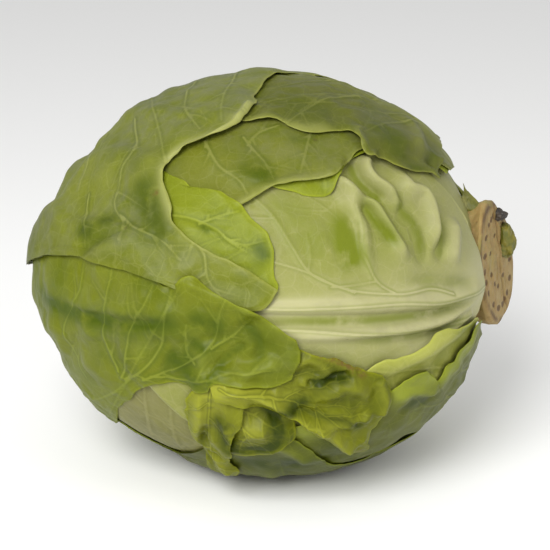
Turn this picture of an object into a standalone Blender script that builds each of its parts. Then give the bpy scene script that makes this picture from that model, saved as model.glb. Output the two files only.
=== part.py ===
"""A head of white cabbage lying on its side: packed heart, cut stalk and the wrapper leaves.

The stem axis runs along X, with the cut stalk towards +X. A place on the head is a pair of
angles in degrees: around the stem axis (0 faces -Y, 90 faces up, 180 faces +Y) and along it
(0 at the stalk, 180 at the tip). Leaves are closed shells laid one on another: each one rests
on the highest point of whatever lies under it, a small gap away.
"""
import math

import bmesh
import bpy
import numpy as np

HEAD_LENGTH = 0.185          # along the stem axis, stalk left out
HEAD_WIDTH = 0.161           # across the stem axis
EGG = 0.05                   # how much fuller the stalk end is than the tip
SPOT_REACH = 26.0            # degrees around straight down where every layer is level
FLAT_DEPTH = 0.0056          # how deep the resting spot is pressed into the round form
FLAT_BLEND = 0.0034          # height over which the resting spot rounds into the form
PACK_DEPTH = 0.0124          # depth of the heart's surface under the head's nominal form

LEAF_THICKNESS = 0.0010
LEAF_GAP = 0.00115           # covers the flats of a faceted sheet lying on another one
CELL = 0.012                 # side of one facet of a leaf
FINE_CELL = 0.0085           # the same on the leaves that pass under the resting spot
UNDERNEATH = ("lower_inner_leaf", "bottom_leaf", "lower_middle_leaf")
FEWEST_COLUMNS = 9
RIB_SPREAD = 0.16            # half width of a midrib, as a share of its leaf's width

STALK_LENGTH = 0.1027        # from the head's centre to the cut face
STALK_RADIUS = 0.0245
STALK_NECK = 0.0215          # radius where the stalk leaves the heart
STALK_RISE = 0.0060          # the stalk sits above the head's middle
STALK_FLARE = 0.0900         # where the neck starts to widen
STALK_EDGE = 0.0026          # rounding of the cut face
STALK_GAP = 0.0006
STALK_SIDES = 32

HEART_ROWS = 22
HEART_SIDES = 40
PILE_CELL = 2.0              # degrees
SIDE_STEPS = 16              # steps of the curve between two points of an outline

# A leaf's outline has four sides, followed round: base, one edge, tip and the other edge.
# Each side starts at its own corner and runs up to the next side's first point.
LEAVES = (
    ("lower_inner_leaf", (0.60, 0.62, 0.38), 0.0012, (
        ((-100, 31), (-80, 28)), ((-60, 31), (-34, 52), (-14, 82), (-8, 108)),
        ((-14, 130), (-50, 148), (-95, 150)), ((-128, 132), (-142, 95), (-132, 58)))),
    ("front_leaf", (0.66, 0.67, 0.42), 0.0095, (
        ((-12, 24), (18, 19)), ((48, 28), (66, 48), (72, 78), (62, 106)),
        ((44, 124), (15, 132)), ((-15, 124), (-33, 103), (-38, 74), (-28, 44)))),
    ("lower_right_leaf", (0.50, 0.56, 0.24), 0.0006, (
        ((-13, 28), (-36, 22)), ((-60, 26), (-56, 50), (-57, 74)),
        ((-50, 94), (-36, 97)), ((-22, 84), (-11, 64), (-6, 50), (-4, 39)))),
    ("bottom_leaf", (0.38, 0.43, 0.20), 0.0008, (
        ((-20, 25), (-60, 21), (-95, 22)), ((-125, 27), (-148, 55), (-150, 88)),
        ((-138, 120), (-95, 136), (-55, 118)), ((-30, 96), (-20, 72), (-19, 54), (-24, 42)))),
    ("upper_under_leaf", (0.55, 0.60, 0.30), 0.0006, (
        ((72, 32), (88, 29)), ((105, 32), (124, 58), (124, 90)),
        ((110, 114), (88, 122), (64, 112)), ((46, 97), (38, 76), (42, 63), (56, 47)))),
    ("upper_inner_leaf", (0.52, 0.57, 0.28), 0.0006, (
        ((76, 31), (95, 28)), ((114, 31), (134, 60), (130, 95)),
        ((114, 124), (88, 134), (60, 125)), ((36, 109), (41, 87), (44, 75), (58, 63), (68, 46)))),
    ("upper_right_leaf", (0.45, 0.52, 0.24), 0.0008, (
        ((58, 29), (86, 26)), ((114, 28), (138, 52), (144, 85)),
        ((132, 115), (106, 128), (80, 116)), ((62, 97), (59, 80), (61, 70), (55, 58), (59, 42)))),
    ("rear_upper_leaf", (0.44, 0.52, 0.21), 0.0022, (
        ((122, 27), (140, 24)), ((160, 25), (192, 50), (200, 85)),
        ((188, 116), (160, 134), (130, 130)), ((110, 108), (99, 82), (102, 50)))),
    ("rear_lower_leaf", (0.42, 0.49, 0.20), 0.0022, (
        ((188, 25), (206, 22)), ((224, 24), (234, 50), (233, 80)),
        ((224, 112), (200, 132), (172, 130)), ((154, 108), (150, 76), (164, 46)))),
    ("lower_middle_leaf", (0.40, 0.45, 0.19), 0.0004, (
        ((-96, 25), (-112, 23)), ((-128, 25), (-150, 46), (-160, 82), (-150, 116)),
        ((-128, 140), (-90, 147), (-56, 132)),
        ((-33, 112), (-25, 90), (-33, 79), (-50, 71), (-70, 54), (-84, 38)))),
    ("middle_leaf", (0.50, 0.57, 0.24), 0.0006, (
        ((-120, 162), (180, 152)), ((120, 148), (84, 138), (64, 124)),
        ((48, 111), (41, 100), (33, 92), (24, 87)), ((13, 88), (-2, 108), (-16, 134), (-50, 155)))),
    ("upper_left_leaf", (0.49, 0.56, 0.26), 0.0022, (
        ((172, 27), (158, 24)), ((142, 26), (124, 56), (100, 82), (78, 91), (63, 95), (55, 108),
                                 (45, 112), (34, 109), (24, 101)),
        ((10, 90), (14, 106), (22, 119), (26, 134)), ((60, 149), (112, 166), (188, 150), (187, 114),
                                                      (182, 68)))),
    ("torn_leaf", (0.45, 0.52, 0.12), 0.0010, (
        ((-56, 98), (-34, 105)), ((-13, 101), (-10, 86), (-6, 74)),
        ((-12, 61), (-20, 59)), ((-28, 62), (-31, 72), (-29, 80), (-35, 88)))),
    ("lower_left_leaf", (0.46, 0.52, 0.23), 0.0022, (
        ((-150, 26), (-137, 24)), ((-125, 25), (-133, 55), (-130, 85), (-118, 110), (-86, 127),
                                   (-54, 128), (-30, 123), (-15, 108), (-11, 92), (-13, 76)),
        ((-15, 62),), ((-7, 69), (0, 81), (8, 91), (17, 106), (24, 123), (28, 138), (60, 150),
                       (112, 170), (198, 158), (211, 118), (210, 70)))),
)


def direction(around, along):
    """Unit vector to a place on the head, from its two angles in degrees."""
    around, along = np.radians(around), np.radians(along)
    return np.stack([np.cos(along), -np.sin(along) * np.cos(around), np.sin(along) * np.sin(around)], -1)


def unit(vectors):
    """The vectors at length one."""
    return vectors / np.linalg.norm(vectors, axis=-1, keepdims=True)


def tangents(normals):
    """Two unit vectors that lie across each normal and across each other."""
    helper = np.where(np.abs(normals[..., 2:3]) < 0.9, [0.0, 0.0, 1.0], [1.0, 0.0, 0.0])
    first = unit(np.cross(helper, normals))
    return first, np.cross(normals, first)


def head_point(n, height):
    """Point of the head's form in direction n, height above it: an egg pressed flat underneath."""
    half_length, half_width = HEAD_LENGTH / 2, HEAD_WIDTH / 2
    width = half_width * (1 + EGG * n[..., 0])
    point = np.stack([half_length * n[..., 0], width * n[..., 1], width * n[..., 2]], -1)
    outward = unit(n / np.array([half_length, half_width, half_width]))
    point = point + height[..., None] * outward
    floor = FLAT_DEPTH - half_width - height
    share = np.clip((point[..., 2] - floor) / FLAT_BLEND * 0.5 + 0.5, 0, 1)
    point[..., 2] = floor + share * (point[..., 2] - floor) + FLAT_BLEND * share * (1 - share)
    return point


class Pile:
    """Height of the top of the leaves laid so far, over every direction."""

    def __init__(self, height):
        rows, columns = int(180 / PILE_CELL), int(360 / PILE_CELL)
        self.top = np.full((rows, columns), float(height))

    def cells(self, n):
        """Row and column of the cell that each direction falls in."""
        along = np.degrees(np.arccos(np.clip(n[..., 0], -1, 1)))
        around = np.degrees(np.arctan2(n[..., 2], -n[..., 1])) % 360
        rows, columns = self.top.shape
        row = np.minimum((along / PILE_CELL).astype(int), rows - 1)
        return row, (around / PILE_CELL).astype(int) % columns

    def highest(self, n, reach):
        """Highest top within reach, in radians, of each direction: rings of samples around it."""
        first, second = tangents(n)
        best = self.top[self.cells(n)]
        for radius in np.linspace(0, reach, 6)[1:]:
            for turn in np.linspace(0, 2 * math.pi, 24, endpoint=False):
                side = math.cos(turn) * first + math.sin(turn) * second
                sample = math.cos(radius) * n + math.sin(radius) * side
                best = np.maximum(best, self.top[self.cells(sample)])
        return best

    def lay(self, n, height):
        """Raises the pile to the given heights."""
        np.maximum.at(self.top, self.cells(n), height)


def to_plane(n, middle):
    """Directions as flat map places around a middle: true distance and bearing, in radians."""
    first, second = tangents(middle)
    away = np.arccos(np.clip(n @ middle, -1, 1))
    across = np.stack([n @ first, n @ second], -1)
    length = np.maximum(np.linalg.norm(across, axis=-1), 1e-9)
    return across * (away / length)[..., None]


def to_sphere(places, middle):
    """The reverse of to_plane."""
    first, second = tangents(middle)
    away = np.linalg.norm(places, axis=-1, keepdims=True)
    side = (places[..., :1] * first + places[..., 1:] * second) / np.maximum(away, 1e-9)
    return np.cos(away) * middle + np.sin(away) * side


def curve_through(points):
    """Smooth curve through the points: cubic pieces whose slopes follow the neighbouring points."""
    padded = np.vstack([2 * points[0] - points[1], points, 2 * points[-1] - points[-2]])
    t = np.linspace(0, 1, SIDE_STEPS, endpoint=False)[:, None]
    pieces = []
    for a, b, c, d in zip(padded, padded[1:], padded[2:], padded[3:]):
        pieces.append(b + 0.5 * t * (c - a + t * (2 * a - 5 * b + 4 * c - d + t * (3 * (b - c) + d - a))))
    return np.vstack([*pieces, points[-1:]])


def spaced(curve, count):
    """The curve at count + 1 evenly spaced places."""
    steps = np.linalg.norm(np.diff(curve, axis=0), axis=1)
    run = np.concatenate([[0], np.cumsum(steps)])
    wanted = np.linspace(0, run[-1], count + 1)
    return np.stack([np.interp(wanted, run, curve[:, k]) for k in range(curve.shape[1])], -1)


def patch(outline, cell):
    """Grid of directions filling a four-sided outline in steps of about one cell: the sum of
    both ways of blending opposite sides, less the blend of the corners."""
    corners_in = [direction(*np.array(side, float).T) for side in outline]
    middle = unit(np.vstack(corners_in).mean(axis=0))
    sides = []
    for side, following in zip(corners_in, corners_in[1:] + corners_in[:1]):
        sides.append(curve_through(to_plane(np.vstack([side, following[:1]]), middle)))
    lengths = [np.linalg.norm(np.diff(s, axis=0), axis=1).sum() * HEAD_WIDTH / 2 for s in sides]
    columns = max(FEWEST_COLUMNS, math.ceil((lengths[0] + lengths[2]) / 2 / cell))
    rows = math.ceil((lengths[1] + lengths[3]) / 2 / cell)
    base, right = spaced(sides[0], columns), spaced(sides[1], rows)
    tip, left = spaced(sides[2], columns)[::-1], spaced(sides[3], rows)[::-1]
    u = np.linspace(0, 1, columns + 1)[None, :, None]
    v = np.linspace(0, 1, rows + 1)[:, None, None]
    places = (1 - v) * base + v * tip + (1 - u) * left[:, None] + u * right[:, None]
    places -= (1 - u) * (1 - v) * base[0] + u * (1 - v) * base[-1] + (1 - u) * v * tip[0] + u * v * tip[-1]
    return to_sphere(places, middle)


def refined(grid, factor):
    """A grid of values or vectors with factor times as many steps each way."""
    for axis in (0, 1):
        count = grid.shape[axis] - 1
        t = np.linspace(0, count, count * factor + 1)
        low = np.minimum(t.astype(int), count - 1)
        share = (t - low).reshape([-1 if k == axis else 1 for k in range(grid.ndim)])
        grid = (1 - share) * grid.take(low, axis) + share * grid.take(low + 1, axis)
    return grid


def shell_faces(rows, columns):
    """Faces of a closed shell of two grids, outer first: both sheets and the rim between them."""
    index = np.arange((rows + 1) * (columns + 1)).reshape(rows + 1, columns + 1)
    inner = index + index.size
    quads = [
        np.stack([index[:-1, :-1], index[:-1, 1:], index[1:, 1:], index[1:, :-1]], -1).reshape(-1, 4),
        np.stack([inner[:-1, :-1], inner[1:, :-1], inner[1:, 1:], inner[:-1, 1:]], -1).reshape(-1, 4),
    ]
    rim = np.concatenate([index[0, :-1], index[:-1, -1], index[-1, :0:-1], index[:0:-1, 0]])
    after = np.roll(rim, -1)
    quads.append(np.stack([rim, rim + index.size, after + index.size, after], -1))
    return np.vstack(quads)


def add_object(name, points, faces, colour, roughness):
    """Makes a closed object with smooth shading and its own material."""
    mesh = bpy.data.meshes.new(name)
    mesh.from_pydata(points.tolist(), [], [list(map(int, f)) for f in faces])
    work = bmesh.new()
    work.from_mesh(mesh)
    bmesh.ops.triangulate(work, faces=work.faces)
    bmesh.ops.recalc_face_normals(work, faces=work.faces)
    work.to_mesh(mesh)
    work.free()
    mesh.shade_smooth()
    mesh.set_sharp_from_angle(angle=math.radians(50))
    material = bpy.data.materials.new(name)
    material.use_nodes = True
    shader = material.node_tree.nodes["Principled BSDF"]
    shader.inputs["Base Color"].default_value = (*colour, 1)
    shader.inputs["Roughness"].default_value = roughness
    shader.inputs["Metallic"].default_value = 0
    mesh.materials.append(material)
    piece = bpy.data.objects.new(name, mesh)
    bpy.context.scene.collection.objects.link(piece)
    return piece


def levelled(n, height):
    """Heights made level with their highest one under the head, where it rests."""
    spot = n[..., 2] < -math.cos(math.radians(SPOT_REACH))
    return np.where(spot, height[spot].max(initial=-HEAD_WIDTH), height)


def build_leaf(name, colour, rib, outline, pile):
    """Lays one leaf on the pile; its midrib thickens towards the base."""
    n = patch(outline, FINE_CELL if name in UNDERNEATH else CELL)
    rows, columns = n.shape[0] - 1, n.shape[1] - 1
    steps = np.linalg.norm(n[1:, 1:] - n[:-1, :-1], axis=-1), np.linalg.norm(n[1:, :-1] - n[:-1, 1:], axis=-1)
    inner = levelled(n, pile.highest(n, max(steps[0].max(), steps[1].max())) + LEAF_GAP)
    across = np.linspace(-1, 1, columns + 1)[None, :]
    along = np.linspace(0, 1, rows + 1)[:, None]
    ridge = rib * np.exp(-(across / (2 * RIB_SPREAD)) ** 2) * (1 - along) ** 2
    outer = levelled(n, inner + LEAF_THICKNESS + ridge)
    pile.lay(unit(refined(n, 10)), refined(outer, 10))
    points = np.vstack([head_point(n, outer).reshape(-1, 3), head_point(n, inner).reshape(-1, 3)])
    return add_object(name, points, shell_faces(rows, columns), colour, 0.5)


def ring_faces(rings, sides):
    """Faces of rings of points that close in a first and a last single point."""
    faces = [(0, 1 + k, 1 + (k + 1) % sides) for k in range(sides)]
    for ring in range(rings - 1):
        start = 1 + ring * sides
        for k in range(sides):
            after = (k + 1) % sides
            faces.append((start + k, start + sides + k, start + sides + after, start + after))
    start, last = 1 + (rings - 1) * sides, 1 + rings * sides
    faces += [(start + k, last, start + (k + 1) % sides) for k in range(sides)]
    return faces


def build_heart():
    """The tightly packed inner leaves as one solid."""
    along = np.linspace(0, 180, HEART_ROWS + 1)[1:-1]
    around = np.arange(HEART_SIDES) * 360 / HEART_SIDES
    ring = direction(*np.meshgrid(around, along)).reshape(-1, 3)
    n = np.vstack([[1.0, 0, 0], ring, [-1.0, 0, 0]])
    points = head_point(n, np.full(len(n), -PACK_DEPTH))
    return add_object("heart", points, ring_faces(len(along), HEART_SIDES), (0.72, 0.74, 0.50), 0.5)


def heart_surface_x(y, z):
    """How far out along X the heart's stalk end lies at a place across the stem axis."""
    half_width = (HEAD_WIDTH / 2) * (1 + EGG) - PACK_DEPTH
    share = np.clip((y ** 2 + z ** 2) / half_width ** 2, 0, 1)
    return (HEAD_LENGTH / 2 - PACK_DEPTH) * np.sqrt(1 - share)


def build_stalk():
    """The cut stalk: a hollowed foot that sits on the heart, a neck, a flare and a rounded cut face."""
    turn = np.arange(STALK_SIDES) * 2 * math.pi / STALK_SIDES
    ripple = 1 + 0.03 * np.cos(3 * turn) + 0.02 * np.sin(5 * turn)
    rings = []
    for radius in (STALK_NECK * 0.35, STALK_NECK * 0.7, STALK_NECK):
        y, z = radius * ripple * np.sin(turn), STALK_RISE + radius * ripple * np.cos(turn)
        rings.append(np.stack([heart_surface_x(y, z) + STALK_GAP, y, z], -1))
    middle = (STALK_FLARE + STALK_LENGTH) / 2
    profile = (
        (STALK_FLARE, STALK_NECK), (middle, STALK_RADIUS), (STALK_LENGTH - STALK_EDGE, STALK_RADIUS * 0.98),
        (STALK_LENGTH - STALK_EDGE * 0.3, STALK_RADIUS - STALK_EDGE * 0.5),
        (STALK_LENGTH, STALK_RADIUS - STALK_EDGE * 1.4), (STALK_LENGTH, STALK_RADIUS * 0.5),
    )
    for x, radius in profile:
        y, z = radius * ripple * np.sin(turn), STALK_RISE + radius * ripple * np.cos(turn)
        rings.append(np.stack([np.full(STALK_SIDES, x), y, z], -1))
    foot = [heart_surface_x(np.zeros(1), np.full(1, STALK_RISE))[0] + STALK_GAP, 0, STALK_RISE]
    points = np.vstack([[foot], *rings, [[STALK_LENGTH, 0, STALK_RISE]]])
    return add_object("stalk", points, ring_faces(len(rings), STALK_SIDES), (0.50, 0.41, 0.24), 0.7)


def settle(pieces):
    """Moves the whole head so that the middle of its box's underside is the origin."""
    points = np.vstack([[tuple(v.co) for v in p.data.vertices] for p in pieces])
    low, high = points.min(axis=0), points.max(axis=0)
    shift = np.array([(low[0] + high[0]) / 2, (low[1] + high[1]) / 2, low[2]])
    for piece in pieces:
        for vertex in piece.data.vertices:
            vertex.co = [a - b for a, b in zip(vertex.co, shift)]


def main():
    for old in list(bpy.data.objects):
        bpy.data.objects.remove(old)
    pieces = [build_heart(), build_stalk()]
    pile = Pile(-PACK_DEPTH)
    for name, colour, rib, outline in LEAVES:
        pieces.append(build_leaf(name, colour, rib, outline, pile))
    settle(pieces)


main()
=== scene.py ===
"""Looks of a head of white cabbage lying on its side.

The leaves are laid one on another from the inside out. A place on the head is a pair of angles
in degrees: around the stem axis (0 faces -Y, 90 faces up, 180 faces +Y) and along it (0 at the
cut stalk, 180 at the tip). Heights are measured outwards from an egg-shaped form whose size and
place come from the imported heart.
"""

import logging
import math
from dataclasses import dataclass, field
from enum import Enum

import bpy
import numpy as np
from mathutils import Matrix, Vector

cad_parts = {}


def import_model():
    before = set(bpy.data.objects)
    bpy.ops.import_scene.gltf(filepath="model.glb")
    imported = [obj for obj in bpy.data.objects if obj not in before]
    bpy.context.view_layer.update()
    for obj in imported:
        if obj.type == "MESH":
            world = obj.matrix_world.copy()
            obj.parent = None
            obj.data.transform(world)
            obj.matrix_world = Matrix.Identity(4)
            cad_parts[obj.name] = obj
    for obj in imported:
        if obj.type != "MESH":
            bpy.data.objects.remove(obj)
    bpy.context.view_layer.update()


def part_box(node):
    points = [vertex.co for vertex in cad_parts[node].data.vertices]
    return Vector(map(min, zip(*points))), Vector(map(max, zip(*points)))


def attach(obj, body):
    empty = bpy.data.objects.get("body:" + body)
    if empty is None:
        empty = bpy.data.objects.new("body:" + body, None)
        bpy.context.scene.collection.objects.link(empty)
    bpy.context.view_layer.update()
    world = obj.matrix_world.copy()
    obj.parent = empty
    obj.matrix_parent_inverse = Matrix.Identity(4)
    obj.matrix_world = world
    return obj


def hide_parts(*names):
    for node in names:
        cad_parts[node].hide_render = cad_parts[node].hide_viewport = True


log = logging.getLogger("cabbage")
Array = np.ndarray
Place = tuple[float, float]
Path = tuple[Place, ...]
Triple = tuple[float, float, float]
Colour = Triple

MM = 0.001
FAR = 1e3                    # farther than any place on a map, in metres
HEART_DEPTH = 12.4 * MM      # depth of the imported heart's surface under the form
EGG = 0.05                   # how much fuller the stalk end is than the tip
FLAT_DEPTH = 5.0 * MM        # how deep the resting spot is pressed into the round form
FLAT_BLEND = 3.0 * MM        # height over which the resting spot rounds into the form
SHOWN_DEPTH = 5.0 * MM       # depth at which the first shown leaves start
LEAF_GAP = 0.12 * MM         # least gap between a leaf and what it lies on
PILE_CELL = 0.75             # degrees between the heights that the pile keeps
MOST_CELLS = 74000           # cells of one leaf's outer grid
PATH_STEPS = 12              # steps of the curve between two points of a vein or a fold
OUTLINE_STEPS = 16           # the same on an outline
RAGGED_STEP = 0.6 * MM       # spacing of the points that make an outline ragged
RAGGED_FADE = 5 * MM         # length over which it calms down at its corners
HUG_REACH = 9 * MM           # width of the margin that keeps close to what lies under it
MARGIN = 4 * MM              # width of the margin that lifts and pales
VEIN_REACH = 12 * MM         # distance past which a vein doesn't matter
MOST_STEPS = 9.0             # the same in steps of a leaf's grid
CROSSING = 109.5             # degrees along, where the two big left leaves change places
CROSSING_BLEND = 1.5         # degrees on each side of it over which they do


class Slot(Enum):
    """Material slots of the record."""

    HEART = "heart_leaf"
    INNER = "inner_leaf"
    WRAPPER = "wrapper_leaf"
    TORN = "torn_leaf"
    STALK = "stalk"


# ---------------------------------------------------------------- places on the head

def direction(around: Array, along: Array) -> Array:
    """Unit vector to a place on the head.

    Args:
        around: degrees around the stem axis.
        along: degrees along it, from the stalk.

    Returns:
        Vectors of length one in the last axis.
    """
    around, along = np.radians(around), np.radians(along)
    return np.stack([np.cos(along), -np.sin(along) * np.cos(around), np.sin(along) * np.sin(around)], -1)


def degrees_along(n: Array) -> Array:
    """Degrees along the stem axis of unit directions."""
    return np.degrees(np.arccos(np.clip(n[..., 0], -1, 1)))


def unit(vectors: Array) -> Array:
    """The vectors at length one."""
    return vectors / np.maximum(np.linalg.norm(vectors, axis=-1, keepdims=True), 1e-12)


def tangents(normals: Array) -> tuple[Array, Array]:
    """Two unit vectors that lie across each normal and across each other.

    Args:
        normals: unit vectors.

    Returns:
        Both vectors for each normal.
    """
    helper = np.where(np.abs(normals[..., 2:3]) < 0.9, [0.0, 0.0, 1.0], [1.0, 0.0, 0.0])
    first = unit(np.cross(helper, normals))
    return first, np.cross(normals, first)


def ease(low: float, high: float, values: Array) -> Array:
    """Smooth step from 0 at low to 1 at high: three t squared less two t cubed.

    Args:
        low: where the step starts.
        high: where it ends; it may be below low.
        values: where to read it.

    Returns:
        Values between 0 and 1.
    """
    t = np.clip((values - low) / (high - low), 0, 1)
    return t * t * (3 - 2 * t)


class Noise:
    """Smooth value noise in space: random numbers on a lattice, eased between neighbours."""

    SIZE = 24

    def __init__(self, seed: int) -> None:
        """Draws the lattice's numbers."""
        self.table = np.random.default_rng(seed).uniform(-1, 1, (self.SIZE,) * 3)

    def at(self, points: Array, cell: float) -> Array:
        """Noise between -1 and 1.

        Args:
            points: places in the last axis, two or three numbers each.
            cell: size of the lattice's cells, in the same unit.

        Returns:
            One number for each point.
        """
        if points.shape[-1] == 2:
            points = np.concatenate([points, np.zeros_like(points[..., :1])], -1)
        scaled = points / cell
        low = np.floor(scaled).astype(int)
        t = ease(0, 1, scaled - low)
        total = np.zeros(points.shape[:-1])
        for corner in np.ndindex(2, 2, 2):
            share = np.prod(np.where(corner, t, 1 - t), axis=-1)
            index = (low + corner) % self.SIZE
            total += share * self.table[index[..., 0], index[..., 1], index[..., 2]]
        return total

    def rough(self, points: Array, cell: float, octaves: int) -> Array:
        """Noise plus finer copies of itself, each half as high and half as wide."""
        return sum(self.at(points + 7.3 * cell * k, cell / 2 ** k) / 2 ** k for k in range(octaves))


@dataclass
class Form:
    """The head's nominal outer form: an egg with a flat resting spot underneath."""

    centre: Array
    half_length: float
    half_width: float

    @classmethod
    def from_heart(cls) -> "Form":
        """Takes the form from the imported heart, which lies a known depth under it."""
        low, high = (np.array(corner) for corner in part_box("heart"))
        half = (high - low) / 2 + HEART_DEPTH
        centre = (low + high) / 2
        centre[2] = high[2] + HEART_DEPTH - half[1]
        return cls(centre, half[0], half[1])

    @property
    def mean_radius(self) -> float:
        """Radius used to turn angles into lengths."""
        return (self.half_length + 2 * self.half_width) / 3

    def point(self, n: Array, height: Array) -> Array:
        """Point in direction n at a height over the form, pressed flat underneath.

        Args:
            n: unit directions.
            height: metres outwards from the form.

        Returns:
            Points in metres, from the head's centre.
        """
        width = self.half_width * (1 + EGG * n[..., 0])
        point = np.stack([self.half_length * n[..., 0], width * n[..., 1], width * n[..., 2]], -1)
        point = point + height[..., None] * self.outward(n)
        floor = FLAT_DEPTH - self.half_width - height
        share = np.clip((point[..., 2] - floor) / FLAT_BLEND * 0.5 + 0.5, 0, 1)
        point[..., 2] = floor + share * (point[..., 2] - floor) + FLAT_BLEND * share * (1 - share)
        return point

    def outward(self, n: Array) -> Array:
        """Unit vectors that stand on the form."""
        return unit(n / np.array([self.half_length, self.half_width, self.half_width]))


class Chart:
    """Flat map around a middle direction, in metres: distances and bearings from it are true."""

    def __init__(self, middle: Array, radius: float) -> None:
        """Keeps the middle and the two directions of the map's axes."""
        self.middle = unit(middle)
        self.first, self.second = tangents(self.middle)
        self.radius = radius

    def to_plane(self, n: Array) -> Array:
        """Directions as places on the map.

        Args:
            n: unit directions.

        Returns:
            Places in metres, in the last axis.
        """
        away = np.arccos(np.clip(n @ self.middle, -1, 1)) * self.radius
        across = np.stack([n @ self.first, n @ self.second], -1)
        return across * (away / np.maximum(np.linalg.norm(across, axis=-1), 1e-9))[..., None]

    def to_sphere(self, places: Array) -> Array:
        """Places on the map as directions.

        Args:
            places: places in metres.

        Returns:
            Unit directions.
        """
        length = np.linalg.norm(places, axis=-1, keepdims=True)
        side = (places[..., :1] * self.first + places[..., 1:] * self.second) / np.maximum(length, 1e-9)
        return np.cos(length / self.radius) * self.middle + np.sin(length / self.radius) * side

    def route(self, path: Path) -> Array:
        """A path given in degrees as a smooth curve on the map.

        Args:
            path: degrees around and along.

        Returns:
            Points of the curve in metres.
        """
        points = self.to_plane(direction(*np.array(path, float).T))
        return curve_through(points) if len(points) > 2 else points


class Pile:
    """Height of the top of the leaves laid so far, on a grid over every direction."""

    def __init__(self, height: float) -> None:
        """Starts level at a height."""
        self.top = np.full((round(180 / PILE_CELL), round(360 / PILE_CELL)), float(height))

    def copy(self) -> "Pile":
        """A pile of its own with the same heights.

        Returns:
            The copy.
        """
        twin = Pile(0)
        twin.top = self.top.copy()
        return twin

    def _position(self, n: Array) -> tuple[Array, Array]:
        """Row and column of each direction, with fractions.

        Args:
            n: unit directions.

        Returns:
            Both numbers.
        """
        around = np.degrees(np.arctan2(n[..., 2], -n[..., 1])) % 360
        return degrees_along(n) / PILE_CELL, around / PILE_CELL

    def height(self, n: Array) -> Array:
        """Height of the pile in each direction, eased between the grid's cells.

        Args:
            n: unit directions.

        Returns:
            Heights in metres.
        """
        rows, columns = self.top.shape
        row, column = self._position(n)
        row, column = np.clip(row - 0.5, 0, rows - 1.001), column - 0.5
        low_row, low_column = row.astype(int), np.floor(column).astype(int)
        down, right = row - low_row, column - low_column
        total = 0.0
        for step_row, share_row in ((0, 1 - down), (1, down)):
            for step_column, share_column in ((0, 1 - right), (1, right)):
                cell = self.top[low_row + step_row, (low_column + step_column) % columns]
                total = total + share_row * share_column * cell
        return total

    def lay(self, n: Array, height: Array) -> None:
        """Raises the pile to a sheet's heights, with the sheet's grid refined to leave no holes.

        Args:
            n: the sheet's grid of directions.
            height: heights of its upper skin.
        """
        n, height = unit(refined(refined(n))), refined(refined(height))
        row, column = self._position(n)
        rows, columns = self.top.shape
        cell = np.minimum(row.astype(int), rows - 1), column.astype(int) % columns
        np.maximum.at(self.top, cell, height)


def refined(grid: Array) -> Array:
    """A grid with a new row and column halfway between each two.

    Args:
        grid: grid of numbers or of points.

    Returns:
        The finer grid.
    """
    for axis in (0, 1):
        grid = np.moveaxis(grid, axis, 0)
        finer = np.empty((2 * len(grid) - 1, *grid.shape[1:]))
        finer[::2] = grid
        finer[1::2] = (grid[:-1] + grid[1:]) / 2
        grid = np.moveaxis(finer, 0, axis)
    return grid


def curve_through(points: Array, steps: int = PATH_STEPS) -> Array:
    """Smooth curve through points: cubic pieces whose slopes follow the neighbouring points.

    Args:
        points: at least three points.
        steps: steps between two of them.

    Returns:
        Points of the curve.
    """
    padded = np.vstack([2 * points[0] - points[1], points, 2 * points[-1] - points[-2]])
    t = np.linspace(0, 1, steps, endpoint=False)[:, None]
    pieces = []
    for a, b, c, d in zip(padded, padded[1:], padded[2:], padded[3:]):
        pieces.append(b + 0.5 * t * (c - a + t * (2 * a - 5 * b + 4 * c - d + t * (3 * (b - c) + d - a))))
    return np.vstack([*pieces, points[-1:]])


def run_along(curve: Array) -> Array:
    """Distance from the start to each point of a curve."""
    return np.concatenate([[0], np.cumsum(np.linalg.norm(np.diff(curve, axis=0), axis=1))])


def spaced(curve: Array, count: int) -> Array:
    """The curve at count + 1 evenly spaced places.

    Args:
        curve: its points.
        count: how many steps to make.

    Returns:
        The new points.
    """
    run = run_along(curve)
    wanted = np.linspace(0, run[-1], count + 1)
    return np.stack([np.interp(wanted, run, curve[:, k]) for k in range(curve.shape[1])], -1)


def distance_to(places: Array, curve: Array, reach: float) -> tuple[Array, Array, Array]:
    """Nearest distance from places on a map to a curve of straight pieces.

    Args:
        places: grid of places.
        curve: the curve's points.
        reach: distance past which the answer doesn't matter.

    Returns:
        Distance, share of the curve's length at the nearest point (0 to 1), and side (+1 or -1).
    """
    best = np.full(places.shape[:-1], FAR)
    share, side = np.zeros(best.shape), np.ones(best.shape)
    low, high = curve.min(axis=0) - reach, curve.max(axis=0) + reach
    near = np.all((places > low) & (places < high), axis=-1)
    spots = places[near]
    if not len(spots):
        return best, share, side
    run = run_along(curve)
    found = np.full(len(spots), FAR)
    found_share, found_side = np.zeros(len(spots)), np.ones(len(spots))
    for start, end, before, after in zip(curve, curve[1:], run, run[1:]):
        along = end - start
        offset = spots - start
        t = np.clip(offset @ along / max(along @ along, 1e-12), 0, 1)
        gap = offset - t[:, None] * along
        away = np.hypot(gap[:, 0], gap[:, 1])
        closer = away < found
        found = np.where(closer, away, found)
        found_share = np.where(closer, (before + t * (after - before)) / run[-1], found_share)
        turn = along[0] * offset[:, 1] - along[1] * offset[:, 0]
        found_side = np.where(closer, np.where(turn >= 0, 1.0, -1.0), found_side)
    best[near], share[near], side[near] = found, found_share, found_side
    return best, share, side


def spread_max(grid: Array, cells: int) -> Array:
    """Highest value within a square of cells around each one.

    Args:
        grid: grid of numbers.
        cells: how far to look each way.

    Returns:
        Grid of the same size.
    """
    for axis in (0, 1):
        width = [(cells, cells) if k == axis else (0, 0) for k in range(2)]
        padded = np.pad(grid, width, mode="edge")
        size = grid.shape[axis]
        grid = np.max([padded.take(range(s, s + size), axis) for s in range(2 * cells + 1)], axis=0)
    return grid


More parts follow.
